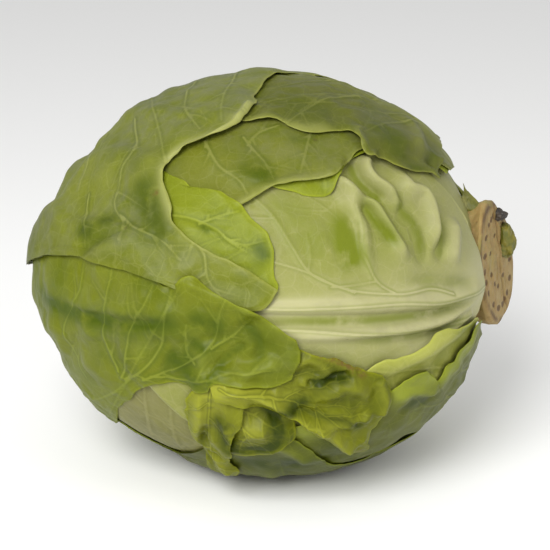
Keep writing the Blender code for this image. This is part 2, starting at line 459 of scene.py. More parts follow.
def blurred(grid: Array, cells: float) -> Array:
    """Bell-shaped average over a number of cells.

    Args:
        grid: grid of numbers.
        cells: width of the bell.

    Returns:
        Grid of the same size.
    """
    reach = max(1, math.ceil(2.2 * cells))
    weights = np.exp(-0.5 * (np.arange(-reach, reach + 1) / cells) ** 2)
    weights /= weights.sum()
    for axis in (0, 1):
        width = [(reach, reach) if k == axis else (0, 0) for k in range(2)]
        padded = np.pad(grid, width, mode="edge")
        size = grid.shape[axis]
        grid = sum(w * padded.take(range(s, s + size), axis) for s, w in enumerate(weights))
    return grid


# ---------------------------------------------------------------- what a leaf is made of

@dataclass(frozen=True)
class Vein:
    """A raised pale vein: its path in degrees from its thick end, and its size in millimetres."""

    path: Path
    width: float
    height: float
    branches: int = 2


@dataclass(frozen=True)
class Fold:
    """A ridge, or with a negative height a crease: its path in degrees and sizes in millimetres.

    The near width is on the left of the path and the far width on its right. Its height fades
    over the ends' share of its length.
    """

    path: Path
    height: float
    near: float
    far: float
    ends: float = 0.3


@dataclass(frozen=True)
class Mark:
    """A soft spot of colour: a path in degrees, its half width in millimetres and its strength."""

    path: Path
    width: float
    strength: float


@dataclass(frozen=True)
class LeafFinish:
    """Colours of a leaf's skin: blade, deep green (also painted shade), ribs and base (also a painted
    highlight on fold crests), margin with a painted highlight on its edge, and waxy bloom with a painted
    sky reflection on upward faces; how mottled it is, and how strongly its veins are drawn."""

    blade: Colour
    deep: Colour
    pale: Colour
    rim: Colour
    # waxy bloom colour, also used for a painted sky reflection on upward faces
    bloom_and_sky_reflection: Colour
    mottle: float = 0.5
    line: float = 0.34


@dataclass(frozen=True)
class Leaf:
    """One leaf: outline, veins, folds and how it lies. Lengths are in millimetres.

    The outline has four sides, followed round: base, one edge, tip and the other edge. Each side
    starts at its own corner and runs up to the next side's first point.
    """

    name: str
    slot: Slot
    finish: LeafFinish
    outline: tuple[Path, Path, Path, Path]
    midrib: Vein
    seed: int
    side_veins: int = 5
    veins: tuple[Vein, ...] = ()
    folds: tuple[Fold, ...] = ()
    greens: tuple[Mark, ...] = ()
    pales: tuple[Mark, ...] = ()
    bruises: tuple[Mark, ...] = ()
    cell: float = 1.0
    thickness: float = 0.7
    base_swell: float = 0.8
    rib_width: float = 7.0
    lift: float = 0.8
    ragged: float = 0.5
    pucker: float = 0.5
    pucker_cell: float = 16.0
    crumple: float = 0.0
    crumple_cell: float = 12.0
    reach: float = 2.5
    soften: float = 2.2
    pale_base: float = 0.5
    # amount of waxy bloom, laid thicker on upward faces as a painted sky reflection
    bloom_and_sky_reflection: float = 0.5

    @property
    def node(self) -> str:
        """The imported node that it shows; the torn leaf's three pieces share one."""
        return "torn_leaf" if self.slot is Slot.TORN else self.name


@dataclass
class Sheet:
    """A leaf laid on the pile: its grid of directions, heights of both skins and painted values."""

    leaf: Leaf
    n: Array
    outer: Array
    inner: Array
    paint: dict[str, Array]


def outline_grid(leaf: Leaf, form: Form) -> tuple[Array, Chart, Array]:
    """Grid filling a leaf's outline, whose cells are about as large as the plan says. All sides
    but the base are made ragged with noise.

    Args:
        leaf: the leaf's plan.
        form: the head's form.

    Returns:
        Directions, the leaf's map, and the grid's places on it.
    """
    corners = [direction(*np.array(side, float).T) for side in leaf.outline]
    chart = Chart(np.vstack(corners).mean(axis=0), form.mean_radius)
    noise = Noise(leaf.seed + 500)
    sides = []
    for order, (side, following) in enumerate(zip(corners, corners[1:] + corners[:1])):
        curve = curve_through(chart.to_plane(np.vstack([side, following[:1]])), OUTLINE_STEPS)
        if order > 0:
            fine = spaced(curve, max(40, round(run_along(curve)[-1] / RAGGED_STEP)))
            to_corner = np.minimum(run_along(fine), run_along(fine)[::-1])
            along = np.gradient(fine, axis=0)
            across = unit(np.stack([-along[:, 1], along[:, 0]], -1))
            wiggle = noise.rough(fine, 7 * MM, 3) + 0.6 * noise.at(fine, 20 * MM)
            calm = np.clip(to_corner / RAGGED_FADE, 0, 1)
            curve = fine + across * (calm * wiggle * leaf.ragged * MM)[:, None]
        sides.append(curve)
    trial = filled(sides, 24, 24)
    lengths = [np.linalg.norm(np.diff(trial, axis=axis), axis=-1).sum(axis=axis) for axis in (1, 0)]
    wide, long = (np.percentile(length, 80) / MM for length in lengths)
    share = min(1.0, math.sqrt(MOST_CELLS / (wide * long / leaf.cell ** 2)))
    columns, rows = (2 * math.ceil(span / 2 / leaf.cell * share) for span in (wide, long))
    places = filled(sides, columns, rows)
    n = chart.to_sphere(places)
    middle = rows // 2, columns // 2
    step_u = n[middle[0], middle[1] + 1] - n[middle]
    step_v = n[middle[0] + 1, middle[1]] - n[middle]
    if np.cross(step_u, step_v) @ n[middle] < 0:
        n, places = n[:, ::-1], places[:, ::-1]
    return n, chart, places


def filled(sides: list[Array], columns: int, rows: int) -> Array:
    """Grid of places between four sides that follow one another round an outline: the sum of
    both ways of blending opposite sides, less the blend of the corners.

    Args:
        sides: points of the base, one edge, the tip and the other edge.
        columns: steps along the base.
        rows: steps from base to tip.

    Returns:
        Grid of places, row by row from the base.
    """
    base, right = spaced(sides[0], columns), spaced(sides[1], rows)
    tip, left = spaced(sides[2], columns)[::-1], spaced(sides[3], rows)[::-1]
    u = np.linspace(0, 1, columns + 1)[None, :, None]
    v = np.linspace(0, 1, rows + 1)[:, None, None]
    places = (1 - v) * base + v * tip + (1 - u) * left[:, None] + u * right[:, None]
    return places - ((1 - u) * (1 - v) * base[0] + u * (1 - v) * base[-1]
                     + (1 - u) * v * tip[0] + u * v * tip[-1])


def edge_distance(places: Array) -> Array:
    """Distance in metres from each place of a grid to its outline, the base left out, along rows
    and columns.

    Args:
        places: grid of places.

    Returns:
        Distances in metres.
    """
    rows = np.linalg.norm(np.diff(places, axis=0), axis=-1)
    columns = np.linalg.norm(np.diff(places, axis=1), axis=-1)
    down = np.pad(np.cumsum(rows, axis=0), ((1, 0), (0, 0)))
    over = np.pad(np.cumsum(columns, axis=1), ((0, 0), (1, 0)))
    return np.minimum.reduce([down[-1:] - down, over, over[:, -1:] - over])


def grown_veins(leaf: Leaf, chart: Chart) -> list[tuple[Array, float, float, float]]:
    """All of a leaf's veins as curves on its map.

    The midrib carries side veins on both sides, which leave it at a slant, bend towards the tip
    and get shorter along it. Every main vein carries short branches made the same way.

    Args:
        leaf: the leaf's plan.
        chart: its map.

    Returns:
        For each vein: curve, width and height in metres at its thick end, and boldness.
    """
    draw = np.random.default_rng(leaf.seed + 40)
    midrib = chart.route(leaf.midrib.path)
    mains = [(midrib, leaf.midrib.width * MM, leaf.midrib.height * MM, 1.0, 0)]
    for vein in leaf.veins:
        mains.append((chart.route(vein.path), vein.width * MM, vein.height * MM, 1.0, vein.branches))
    length = run_along(midrib)[-1]
    for order in range(leaf.side_veins * 2):
        start = 0.16 + 0.72 * (order + draw.uniform(-0.3, 0.3)) / (leaf.side_veins * 2)
        side = 1 if order % 2 else -1
        curve = branch(midrib, start, side, math.radians(draw.uniform(38, 52)),
                       length * (0.62 - 0.35 * start), side * -0.35)
        mains.append((curve, 1.0 * MM, 0.35 * MM, 0.75, 4))
    veins = []
    for curve, width, height, bold, branches in mains:
        veins.append((curve, width, height, bold))
        span = run_along(curve)[-1]
        for order in range(branches):
            start = 0.12 + 0.8 * (order + draw.uniform(0, 0.7)) / branches
            side = 1 if (order + branches) % 2 else -1
            twig = branch(curve, start, side, math.radians(draw.uniform(35, 65)),
                          span * draw.uniform(0.16, 0.32), side * draw.uniform(-0.5, 0.2))
            veins.append((twig, width * 0.55, height * 0.5, bold * 0.6))
    return veins


def branch(stem: Array, start: float, side: int, angle: float, length: float, bend: float) -> Array:
    """A curve that leaves a stem: an arc that starts at a slant and turns by bend radians.

    Args:
        stem: the curve that it leaves.
        start: share of the stem's length where it leaves.
        side: +1 for left, -1 for right.
        angle: slant to the stem, in radians.
        length: in metres.
        bend: how far it turns, in radians.

    Returns:
        The curve's points.
    """
    run = run_along(stem)
    shares = np.clip(start + np.array([-0.02, 0.0, 0.02]), 0, 1)
    behind, root, ahead = np.stack([np.interp(shares * run[-1], run, stem[:, k]) for k in (0, 1)], -1)
    heading = math.atan2(*(ahead - behind)[::-1]) + side * angle
    count = 8
    turn = heading + bend * np.arange(count) / count
    steps = np.stack([np.cos(turn), np.sin(turn)], -1) * length / count
    return root + np.vstack([[0.0, 0.0], np.cumsum(steps, axis=0)])


def painted(marks: tuple[Mark, ...], chart: Chart, places: Array) -> Array:
    """Strength of soft spots at each place: a bell across the distance to each path.

    Args:
        marks: the soft spots.
        chart: map of the leaf.
        places: the grid's places on it.

    Returns:
        Values from 0 up.
    """
    total = np.zeros(places.shape[:-1])
    for mark in marks:
        width = mark.width * MM
        away, _, _ = distance_to(places, chart.route(mark.path), 3 * width)
        total = np.maximum(total, mark.strength * np.exp(-(away / width) ** 2))
    return total


def bridged(leaf: Leaf, n: Array, pile: Pile) -> tuple[Array, Array]:
    """Heights at which a leaf could lie on a pile.

    Args:
        leaf: the leaf's plan.
        n: its directions.
        pile: what it lies on.

    Returns:
        The pile's own height a little evened out, and a smooth height that bridges its steps:
        the highest value nearby, then a bell-shaped average.
    """
    raw = pile.height(n)
    close = blurred(spread_max(raw, max(1, round(0.8 / leaf.cell))), 0.9 / leaf.cell)
    smooth = blurred(spread_max(raw, round(leaf.reach / leaf.cell)), leaf.soften / leaf.cell)
    return close, smooth


def veined(leaf: Leaf, chart: Chart, places: Array) -> tuple[Array, Array, dict[str, Array]]:
    """Veins of a leaf on its grid.

    Args:
        leaf: the leaf's plan.
        chart: its map.
        places: the grid's places on the map.

    Returns:
        Height of the veins, distance to the nearest one, and what they paint: their strength,
        the offset across the nearest one as a share of its width, the distance to it in steps of
        the grid, and how closely a second one runs beside it.
    """
    shape = places.shape[:-1]
    vein, relief, nearest = np.zeros(shape), np.zeros(shape), np.ones(shape)
    across, gap, second = (np.full(shape, MOST_STEPS) for _ in range(3))
    for curve, width, height, bold in grown_veins(leaf, chart):
        away, share, side = distance_to(places, curve, VEIN_REACH)
        slim = np.maximum(width * (1 - 0.65 * share), 0.4 * leaf.cell * MM)
        soft = np.exp(-(away / (1.6 * slim + 0.8 * MM)) ** 2)
        vein = np.maximum(vein, bold * soft * (1 - 0.5 * share))
        steps = away / (leaf.cell * MM)
        closer = steps < gap
        second = np.minimum(second, np.where(closer, gap, steps))
        across = np.where(closer, side * away / slim, across)
        gap = np.where(closer, steps, gap)
        relief = np.maximum(relief, height * np.exp(-(away / slim) ** 2) * (1 - 0.6 * share))
        nearest = np.minimum(nearest, away + share * 2 * MM)
    paint = {
        "vein": np.clip(vein, 0, 1),
        "across": np.clip(across, -6, 6),
        "near": np.clip(gap, 0, 6),
        "crowd": ease(2.6, 1.6, second),
    }
    return relief, nearest, paint


def folded(leaf: Leaf, chart: Chart, places: Array) -> tuple[Array, Array, Array]:
    """Ridges and creases of a leaf on its grid.

    Args:
        leaf: the leaf's plan.
        chart: its map.
        places: the grid's places on the map.

    Returns:
        Their height, and how strongly a painted highlight pales the crests and painted shade darkens the
        valleys.
    """
    height, crest_highlight, valley_shade = (np.zeros(places.shape[:-1]) for _ in range(3))
    for fold in leaf.folds:
        reach = 3 * max(fold.near, fold.far) * MM
        away, share, side = distance_to(places, chart.route(fold.path), reach)
        width = np.where(side > 0, fold.near, fold.far) * MM
        fade = ease(0, fold.ends, np.minimum(share, 1 - share) + 0.02)
        bend = fade * np.exp(-(away / width) ** 2)
        height += fold.height * MM * bend
        # crests get a painted highlight and valleys painted shade, in proportion to the fold's height
        crest_highlight = np.maximum(crest_highlight, bend * min(max(fold.height / 3, 0.0), 0.8))
        valley_shade = np.maximum(valley_shade, bend * min(max(-fold.height / 3, 0.0), 0.8))
    return height, crest_highlight, valley_shade


def lay_leaf(leaf: Leaf, form: Form, under: Pile, over: Pile | None = None) -> Sheet:
    """Lays one leaf on a pile and shapes it: veins, folds, puckers, crumples and a lifted margin
    are added to the height at which it bridges the pile.

    Args:
        leaf: the leaf's plan.
        form: the head's form.
        under: what the leaf lies on.
        over: a second pile, used where the leaf lies on more than under holds.

    Returns:
        The laid leaf; it isn't on the pile yet.
    """
    n, chart, places = outline_grid(leaf, form)
    space = form.point(n, np.zeros(n.shape[:-1]))
    noise = Noise(leaf.seed)
    edge = edge_distance(places)
    down = np.linspace(0, 1, n.shape[0])[:, None] * np.ones(n.shape[1])

    raw, rest = bridged(leaf, n, under)
    if over is not None:
        weight = tuck_weight(n)
        raw_over, rest_over = bridged(leaf, n, over)
        raw, rest = raw + weight * (raw_over - raw), rest + weight * (rest_over - rest)
    rest = raw + (rest - raw) * (0.3 + 0.7 * ease(0, HUG_REACH, edge))

    relief, nearest, paint = veined(leaf, chart, places)
    folds, crest_highlight, valley_shade = folded(leaf, chart, places)
    quilt = leaf.pucker * MM * (1 - np.exp(-(nearest / (5 * MM)) ** 2))
    bumps = noise.rough(space, leaf.pucker_cell * MM, 3) * leaf.pucker * MM
    calm = 0.3 + 0.7 * ease(0.0, 0.14, down)
    height = rest + calm * (relief + folds) + quilt + bumps
    if leaf.crumple:
        ridges = 1 - np.abs(noise.at(space, leaf.crumple_cell * MM)) * 2
        ridges += 0.5 * (1 - np.abs(noise.at(space + 1, leaf.crumple_cell * 0.5 * MM)) * 2)
        height += leaf.crumple * MM * ridges * ease(0, 1.5 * MARGIN, edge)
    flutter = 0.5 + 0.5 * noise.at(space, 14 * MM)
    height += leaf.lift * MM * flutter * np.exp(-(edge / MARGIN) ** 2)

    to_midrib = distance_to(places, chart.route(leaf.midrib.path), 40 * MM)[0]
    middle = np.exp(-(to_midrib / (leaf.rib_width * MM)) ** 2)
    swell = leaf.base_swell * MM * middle * (1 - down) ** 2
    thick = leaf.thickness * MM * (0.3 + 0.7 * ease(0, 3 * MM, edge))
    outer = np.maximum(height + swell, raw + LEAF_GAP) + thick
    inner = outer - thick - 0.6 * swell

    ribs = 0.45 * np.clip(relief / (1.2 * MM), 0, 1) + 0.7 * middle * (1 - down) ** 1.5
    base = leaf.pale_base * np.exp(-down / 0.22) * (0.4 + 0.6 * middle)
    paint |= {
        # pale: marks, ribs and base colour, plus a painted highlight on fold crests
        "pale": np.clip(painted(leaf.pales, chart, places) + 0.55 * crest_highlight + ribs + base, 0, 1),
        # green: deep green marks, plus painted shade in fold valleys
        "green": np.clip(painted(leaf.greens, chart, places) + valley_shade, 0, 1),
        "bruise": np.clip(painted(leaf.bruises, chart, places), 0, 1),
        # rim: the narrow band is a painted highlight along the leaf's edge, the wide band a paler margin
        "rim": 0.75 * np.exp(-(edge / (0.7 * MM)) ** 2) + 0.12 * np.exp(-(edge / MARGIN) ** 2),
        # bloom: waxy bloom in cloudy patches, laid thicker on upward faces as a painted sky reflection
        "bloom_and_sky_reflection": leaf.bloom_and_sky_reflection * ease(-0.5, 0.9, noise.rough(space, 22 * MM, 3) + 0.5 * n[..., 2]),
    }
    return Sheet(leaf, n, outer, inner, paint)


def tuck_weight(n: Array) -> Array:
    """Share, 0 to 1, by which the lower left leaf lies over the upper left one: none towards the
    tip and all towards the stalk, changing where their margins cross.

    Args:
        n: unit directions.

    Returns:
        Shares.
    """
    return ease(-CROSSING_BLEND, CROSSING_BLEND, CROSSING - degrees_along(n))


def shell_mesh(name: str, points: Array, inner: Array, paint: dict[str, Array]) -> bpy.types.Object:
    """Closed shell of an outer grid and an inner grid of half as many steps, joined by a rim.

    Args:
        name: the object's name.
        points: outer grid of points, with an even number of steps each way.
        inner: inner grid of points, as fine as the outer one; every second one is used.
        paint: values for the outer grid's points, stored as attributes.

    Returns:
        The object, at the origin.
    """
    coarse = inner[::2, ::2]
    front = np.arange(points[..., 0].size).reshape(points.shape[:2])
    back = front.size + np.arange(coarse[..., 0].size).reshape(coarse.shape[:2])
    vertices = np.vstack([points.reshape(-1, 3), coarse.reshape(-1, 3)])
    faces = [
        split(vertices, np.stack([front[:-1, :-1], front[:-1, 1:], front[1:, 1:], front[1:, :-1]], -1)),
        split(vertices, np.stack([back[:-1, :-1], back[1:, :-1], back[1:, 1:], back[:-1, 1:]], -1)),
    ]
    outer_rim, inner_rim = boundary(front), boundary(back)
    after = np.roll(inner_rim, -1)
    fives = np.stack([np.roll(outer_rim, -2)[::2], outer_rim[1::2], outer_rim[::2], inner_rim, after], -1)
    sizes = np.concatenate([np.full(len(threes), 3) for threes in faces] + [np.full(len(fives), 5)])
    corners = np.concatenate([threes.ravel() for threes in faces] + [fives.ravel()])
    piece = mesh_object(name, vertices, corners, sizes)
    for key, values in paint.items():
        store(piece, key, values.ravel(), values[::2, ::2].ravel())
    return piece


def store(piece: bpy.types.Object, key: str, *values: Array) -> None:
    """Keeps values, one for each vertex, as an attribute that the material reads.

    Args:
        piece: the object.
        key: the attribute's name.
        values: arrays that follow one another in the order of the vertices.
    """
    attribute = piece.data.attributes.new(key, "FLOAT", "POINT")
    attribute.data.foreach_set("value", np.concatenate(values).astype(np.float32))


def split(vertices: Array, quads: Array) -> Array:
    """Triangles from quads, each cut along its shorter diagonal.

    Args:
        vertices: all points.
        quads: four indices in the last axis, in the order of the corners.

    Returns:
        Three indices for each triangle.
    """
    a, b, c, d = np.moveaxis(quads.reshape(-1, 4), -1, 0)
    one_way, other_way = (np.linalg.norm(vertices[i] - vertices[j], axis=-1) for i, j in ((a, c), (b, d)))
    first = (one_way <= other_way)[:, None]
    one = np.where(first, np.stack([a, b, c], -1), np.stack([a, b, d], -1))
    two = np.where(first, np.stack([a, c, d], -1), np.stack([b, c, d], -1))
    return np.concatenate([one, two])


def boundary(index: Array) -> Array:
    """Indices round the edge of a grid, in the order that its faces run.

    Args:
        index: grid of indices.

    Returns:
        The indices.
    """
    return np.concatenate([index[0, :-1], index[:-1, -1], index[-1, :0:-1], index[:0:-1, 0]])


def mesh_object(name: str, vertices: Array, corners: Array, sizes: Array) -> bpy.types.Object:
    """Smooth-shaded object from vertices, face corners and the number of corners of each face.

    Args:
        name: the object's name.
        vertices: points in metres.
        corners: index of the vertex at each corner, face by face.
        sizes: corners of each face.

    Returns:
        The object, at the origin.
    """
    mesh = bpy.data.meshes.new(name)
    mesh.vertices.add(len(vertices))
    mesh.vertices.foreach_set("co", vertices.astype(np.float32).ravel())
    mesh.loops.add(len(corners))
    mesh.loops.foreach_set("vertex_index", corners.astype(np.int32))
    mesh.polygons.add(len(sizes))
    mesh.polygons.foreach_set("loop_start", np.concatenate([[0], np.cumsum(sizes)[:-1]]).astype(np.int32))
    mesh.update(calc_edges=True)
    mesh.validate()
    mesh.shade_smooth()
    piece = bpy.data.objects.new(name, mesh)
    bpy.context.scene.collection.objects.link(piece)
    return piece


# ---------------------------------------------------------------- materials

class Graph:
    """A material's node tree, with short ways to add and link nodes."""

    def __init__(self, name: str) -> None:
        """Makes a material that holds only its surface shader."""
        self.material = bpy.data.materials.new(name)
        self.material.use_nodes = True
        self.tree = self.material.node_tree
        self.shader = self.tree.nodes["Principled BSDF"]
        self.place = self.tree.nodes.new("ShaderNodeTexCoord").outputs["Object"]

    def node(self, kind: str, **inputs: object) -> bpy.types.Node:
        """Adds a node; sockets are set or linked by name.

        Args:
            kind: type of the node.
            inputs: values by socket name, with _ for a space.

        Returns:
            The node.
        """
        made = self.tree.nodes.new(kind)
        for key, value in inputs.items():
            self.feed(made.inputs[key.replace("_", " ")], value)
        return made

    def feed(self, socket: bpy.types.NodeSocket, value: object) -> None:
        """Links an output to a socket, or sets the socket to a number or colour.

        Args:
            socket: the input.
            value: an output, a number or a colour.
        """
        if isinstance(value, bpy.types.NodeSocket):
            self.tree.links.new(value, socket)
        elif isinstance(value, tuple) and len(value) == 3 and socket.type == "RGBA":
            socket.default_value = (*value, 1)
        else:
            socket.default_value = value

    def attribute(self, name: str) -> bpy.types.NodeSocket:
        """A value painted on the mesh.

        Args:
            name: the attribute's name.

        Returns:
            Its output.
        """
        made = self.tree.nodes.new("ShaderNodeAttribute")
        made.attribute_name = name
        return made.outputs["Fac"]

    def math(self, how: str, first: object, second: object = 0.0) -> bpy.types.NodeSocket:
        """Two values joined by an operation.

        Args:
            how: the operation.
            first: a value or an output.
            second: the same.

        Returns:
            The result.
        """
        made = self.tree.nodes.new("ShaderNodeMath")
        made.operation = how
        self.feed(made.inputs[0], first)
        self.feed(made.inputs[1], second)
        return made.outputs[0]

    def times(self, first: object, second: object) -> bpy.types.NodeSocket:
        """Product of two values."""
        return self.math("MULTIPLY", first, second)

    def plus(self, first: object, second: object) -> bpy.types.NodeSocket:
        """Sum of two values."""
        return self.math("ADD", first, second)

    def rest(self, value: object) -> bpy.types.NodeSocket:
        """One less the value."""
        return self.math("SUBTRACT", 1.0, value)

    def mix(self, share: object, first: object, second: object) -> bpy.types.NodeSocket:
        """A blend of two colours.

        Args:
            share: 0 for the first colour, 1 for the second.
            first: a colour or an output.
            second: the same.

        Returns:
            The blend.
        """
        made = self.tree.nodes.new("ShaderNodeMix")
        made.data_type = "RGBA"
        self.feed(made.inputs["Factor"], share)
        self.feed(made.inputs[6], first)
        self.feed(made.inputs[7], second)
        return made.outputs[2]

    def noise(self, scale: float, detail: float = 3.0, roughness: float = 0.55) -> bpy.types.NodeSocket:
        """Cloudy noise between 0 and 1."""
        return self.node("ShaderNodeTexNoise", Vector=self.place, Scale=scale, Detail=detail,
                         Roughness=roughness).outputs["Fac"]

    def ramp(self, value: bpy.types.NodeSocket, low: float, high: float) -> bpy.types.NodeSocket:
        """Eased step from 0 at low to 1 at high.

        Args:
            value: the output to read.
            low: where the step starts.
            high: where it ends.

        Returns:
            The step.
        """
        made = self.tree.nodes.new("ShaderNodeMapRange")
        made.interpolation_type = "SMOOTHSTEP"
        self.feed(made.inputs["Value"], value)
        made.inputs["From Min"].default_value = low
        made.inputs["From Max"].default_value = high
        return made.outputs["Result"]

    def cells(self, scale: float, warp: float) -> bpy.types.NodeSocket:
        """Distance to the nearest wall of a net of cells, with the net warped by noise.

        Args:
            scale: cells in a metre.
            warp: strength of the warp, in metres.

        Returns:
            The distance.
        """
        cloud = self.node("ShaderNodeTexNoise", Vector=self.place, Scale=scale * 0.7, Detail=2.0)
        spread = self.node("ShaderNodeVectorMath")
        spread.operation = "MULTIPLY_ADD"
        self.feed(spread.inputs[0], cloud.outputs["Color"])
        spread.inputs[1].default_value = (warp, warp, warp)
        self.feed(spread.inputs[2], self.place)
        net = self.tree.nodes.new("ShaderNodeTexVoronoi")
        net.feature = "DISTANCE_TO_EDGE"
        net.inputs["Scale"].default_value = scale
        self.feed(net.inputs["Vector"], spread.outputs[0])
        return net.outputs["Distance"]

    def dots(self, scale: float, low: float, high: float) -> bpy.types.NodeSocket:
        """Scattered round dots: 1 within low of a dot's middle and 0 past high.

        Args:
            scale: dots in a metre.
            low: inner radius.
            high: outer radius.

        Returns:
            The dots.
        """
        spots = self.node("ShaderNodeTexVoronoi", Vector=self.place, Scale=scale)
        return self.rest(self.ramp(spots.outputs["Distance"], low, high))

    def dressed(self, colour: object, rough: object, relief: bpy.types.NodeSocket, strength: float,
                depth: float) -> bpy.types.Material:
        """Feeds colour, roughness and bumps to the surface, and gives the material.

        Args:
            colour: base colour.
            rough: roughness.
            relief: height of the bumps.
            strength: strength of the bumps, 0 to 1.
            depth: their depth in metres.

        Returns:
            The material.
        """
        bump = self.node("ShaderNodeBump", Strength=strength, Distance=depth, Height=relief)
        for name, value in (("Base Color", colour), ("Roughness", rough), ("Normal", bump.outputs[0])):
            self.feed(self.shader.inputs[name], value)
        return self.material


def leaf_material(name: str, finish: LeafFinish) -> bpy.types.Material:
    """Skin of a leaf: mottled blade, net of fine veins, pale ribs, rim with a painted edge highlight, bloom
    with a painted sky reflection, painted shade beside veins and in fold valleys, a painted highlight on
    fold crests, and dark specks.

    Args:
        name: the material's name.
        finish: the leaf's colours.

    Returns:
        The material; it reads the values painted on the leaf.
    """
    g = Graph(name)
    broad, fine = g.noise(45, 4), g.noise(220, 3, 0.6)
    mottle = g.times(g.ramp(broad, 0.38, 0.72), finish.mottle)
    colour = g.mix(mottle, finish.blade, finish.deep)
    # pale ribs, base and marks, with a painted highlight on fold crests
    colour = g.mix(g.attribute("pale"), colour, finish.pale)
    net = g.rest(g.ramp(g.cells(150, 0.004), 0.0, 0.055))
    small = g.rest(g.ramp(g.cells(420, 0.002), 0.0, 0.10))
    webbing = g.plus(g.times(net, 0.16), g.times(small, 0.08))
    colour = g.mix(webbing, colour, finish.pale)
    # waxy bloom, with a painted sky reflection on upward faces
    colour = g.mix(g.times(g.attribute("bloom_and_sky_reflection"), g.ramp(fine, 0.2, 0.8)), colour, finish.bloom_and_sky_reflection)
    # deep green marks, with painted shade in fold valleys
    colour = g.mix(g.times(g.attribute("green"), g.ramp(g.noise(120, 4), 0.22, 0.52)),
                   colour, finish.deep)
    vein, near, crowd = (g.attribute(name) for name in ("vein", "near", "crowd"))
    across = g.math("ABSOLUTE", g.attribute("across"))
    # painted shade in a band on both sides of each vein
    vein_side_shade = g.times(g.ramp(near, 0.4, 0.9), g.rest(g.ramp(near, 0.9, 2.8)))
    colour = g.mix(g.times(g.times(vein, vein_side_shade), 0.5), colour, finish.deep)
    line = g.times(vein, g.times(g.rest(g.ramp(across, 0.08, 0.34)), g.rest(g.ramp(near, 0.8, 1.4))))
    merged = g.times(vein, g.rest(g.ramp(near, 0.15, 0.8)))
    line = g.plus(g.times(line, g.rest(crowd)), g.times(merged, crowd))
    colour = g.mix(g.times(line, finish.line), colour, finish.pale)
    # margin colour, with a painted highlight along the very edge
    colour = g.mix(g.times(g.attribute("rim"), 0.7), colour, finish.rim)
    blot = g.times(g.attribute("bruise"), g.ramp(g.noise(500, 3), 0.3, 0.65))
    colour = g.mix(blot, colour, (0.11, 0.06, 0.015))
    speck = g.times(g.dots(60.0, 0.035, 0.07), 0.45)
    colour = g.mix(g.times(speck, g.ramp(broad, 0.5, 0.6)), colour, (0.07, 0.06, 0.02))
    g.shader.inputs["Specular IOR Level"].default_value = 0.13
    g.shader.inputs["Subsurface Weight"].default_value = 0.12
    g.shader.inputs["Subsurface Radius"].default_value = (0.9, 1.0, 0.35)
    g.shader.inputs["Subsurface Scale"].default_value = 0.004
    relief = g.plus(g.times(webbing, 0.7), g.times(fine, 0.5))
    relief = g.plus(relief, g.times(g.noise(900, 2), 0.15))
    return g.dressed(colour, g.plus(g.times(fine, 0.16), 0.36), relief, 0.5, 0.4 * MM)


# ---------------------------------------------------------------- the leaves, inside to outside

WRAP = LeafFinish(blade=(0.112, 0.130, 0.003), deep=(0.046, 0.070, 0.0003), pale=(0.20, 0.23, 0.03),
                  rim=(0.19, 0.22, 0.01), bloom_and_sky_reflection=(0.125, 0.132, 0.05))
LEFT = LeafFinish(blade=(0.128, 0.146, 0.008), deep=(0.042, 0.062, 0.0003), pale=(0.26, 0.27, 0.08),
                  rim=(0.27, 0.28, 0.06), bloom_and_sky_reflection=(0.142, 0.148, 0.088))
# outer leaf colours, darkened for the leaves on top of the head as painted shade
SHADED_TOP = LeafFinish(blade=(0.090, 0.099, 0.009), deep=(0.042, 0.060, 0.0006), pale=(0.20, 0.21, 0.055),
                 rim=(0.23, 0.24, 0.04), bloom_and_sky_reflection=(0.100, 0.103, 0.045))
EARLY = LeafFinish(blade=(0.122, 0.134, 0.011), deep=(0.055, 0.076, 0.0005), pale=(0.21, 0.22, 0.06),
                   rim=(0.24, 0.25, 0.05), bloom_and_sky_reflection=(0.135, 0.14, 0.06))
MID = LeafFinish(blade=(0.150, 0.180, 0.004), deep=(0.052, 0.078, 0.0003), pale=(0.25, 0.28, 0.04),
                 rim=(0.27, 0.31, 0.02), bloom_and_sky_reflection=(0.155, 0.17, 0.03), mottle=0.35)
LOW = LeafFinish(blade=(0.076, 0.086, 0.006), deep=(0.026, 0.040, 0.0005), pale=(0.20, 0.23, 0.02),
                 rim=(0.22, 0.26, 0.012), bloom_and_sky_reflection=(0.10, 0.106, 0.04))
INNER = LeafFinish(blade=(0.208, 0.217, 0.050), deep=(0.125, 0.152, 0.008), pale=(0.37, 0.355, 0.18),
                   rim=(0.30, 0.30, 0.09), bloom_and_sky_reflection=(0.24, 0.23, 0.12), mottle=0.3, line=0.0)
SIDE = LeafFinish(blade=(0.250, 0.260, 0.045), deep=(0.10, 0.12, 0.003), pale=(0.36, 0.36, 0.13),
                  rim=(0.38, 0.40, 0.07), bloom_and_sky_reflection=(0.21, 0.20, 0.08), mottle=0.4)
HUSK = LeafFinish(blade=(0.175, 0.170, 0.052), deep=(0.085, 0.085, 0.008), pale=(0.26, 0.25, 0.10),
                  rim=(0.28, 0.27, 0.06), bloom_and_sky_reflection=(0.17, 0.155, 0.075), mottle=0.4)
TORN = LeafFinish(blade=(0.112, 0.124, 0.001), deep=(0.024, 0.036, 0.0002), pale=(0.23, 0.24, 0.02),
                  rim=(0.21, 0.23, 0.004), bloom_and_sky_reflection=(0.095, 0.108, 0.012), mottle=0.75, line=0.3)


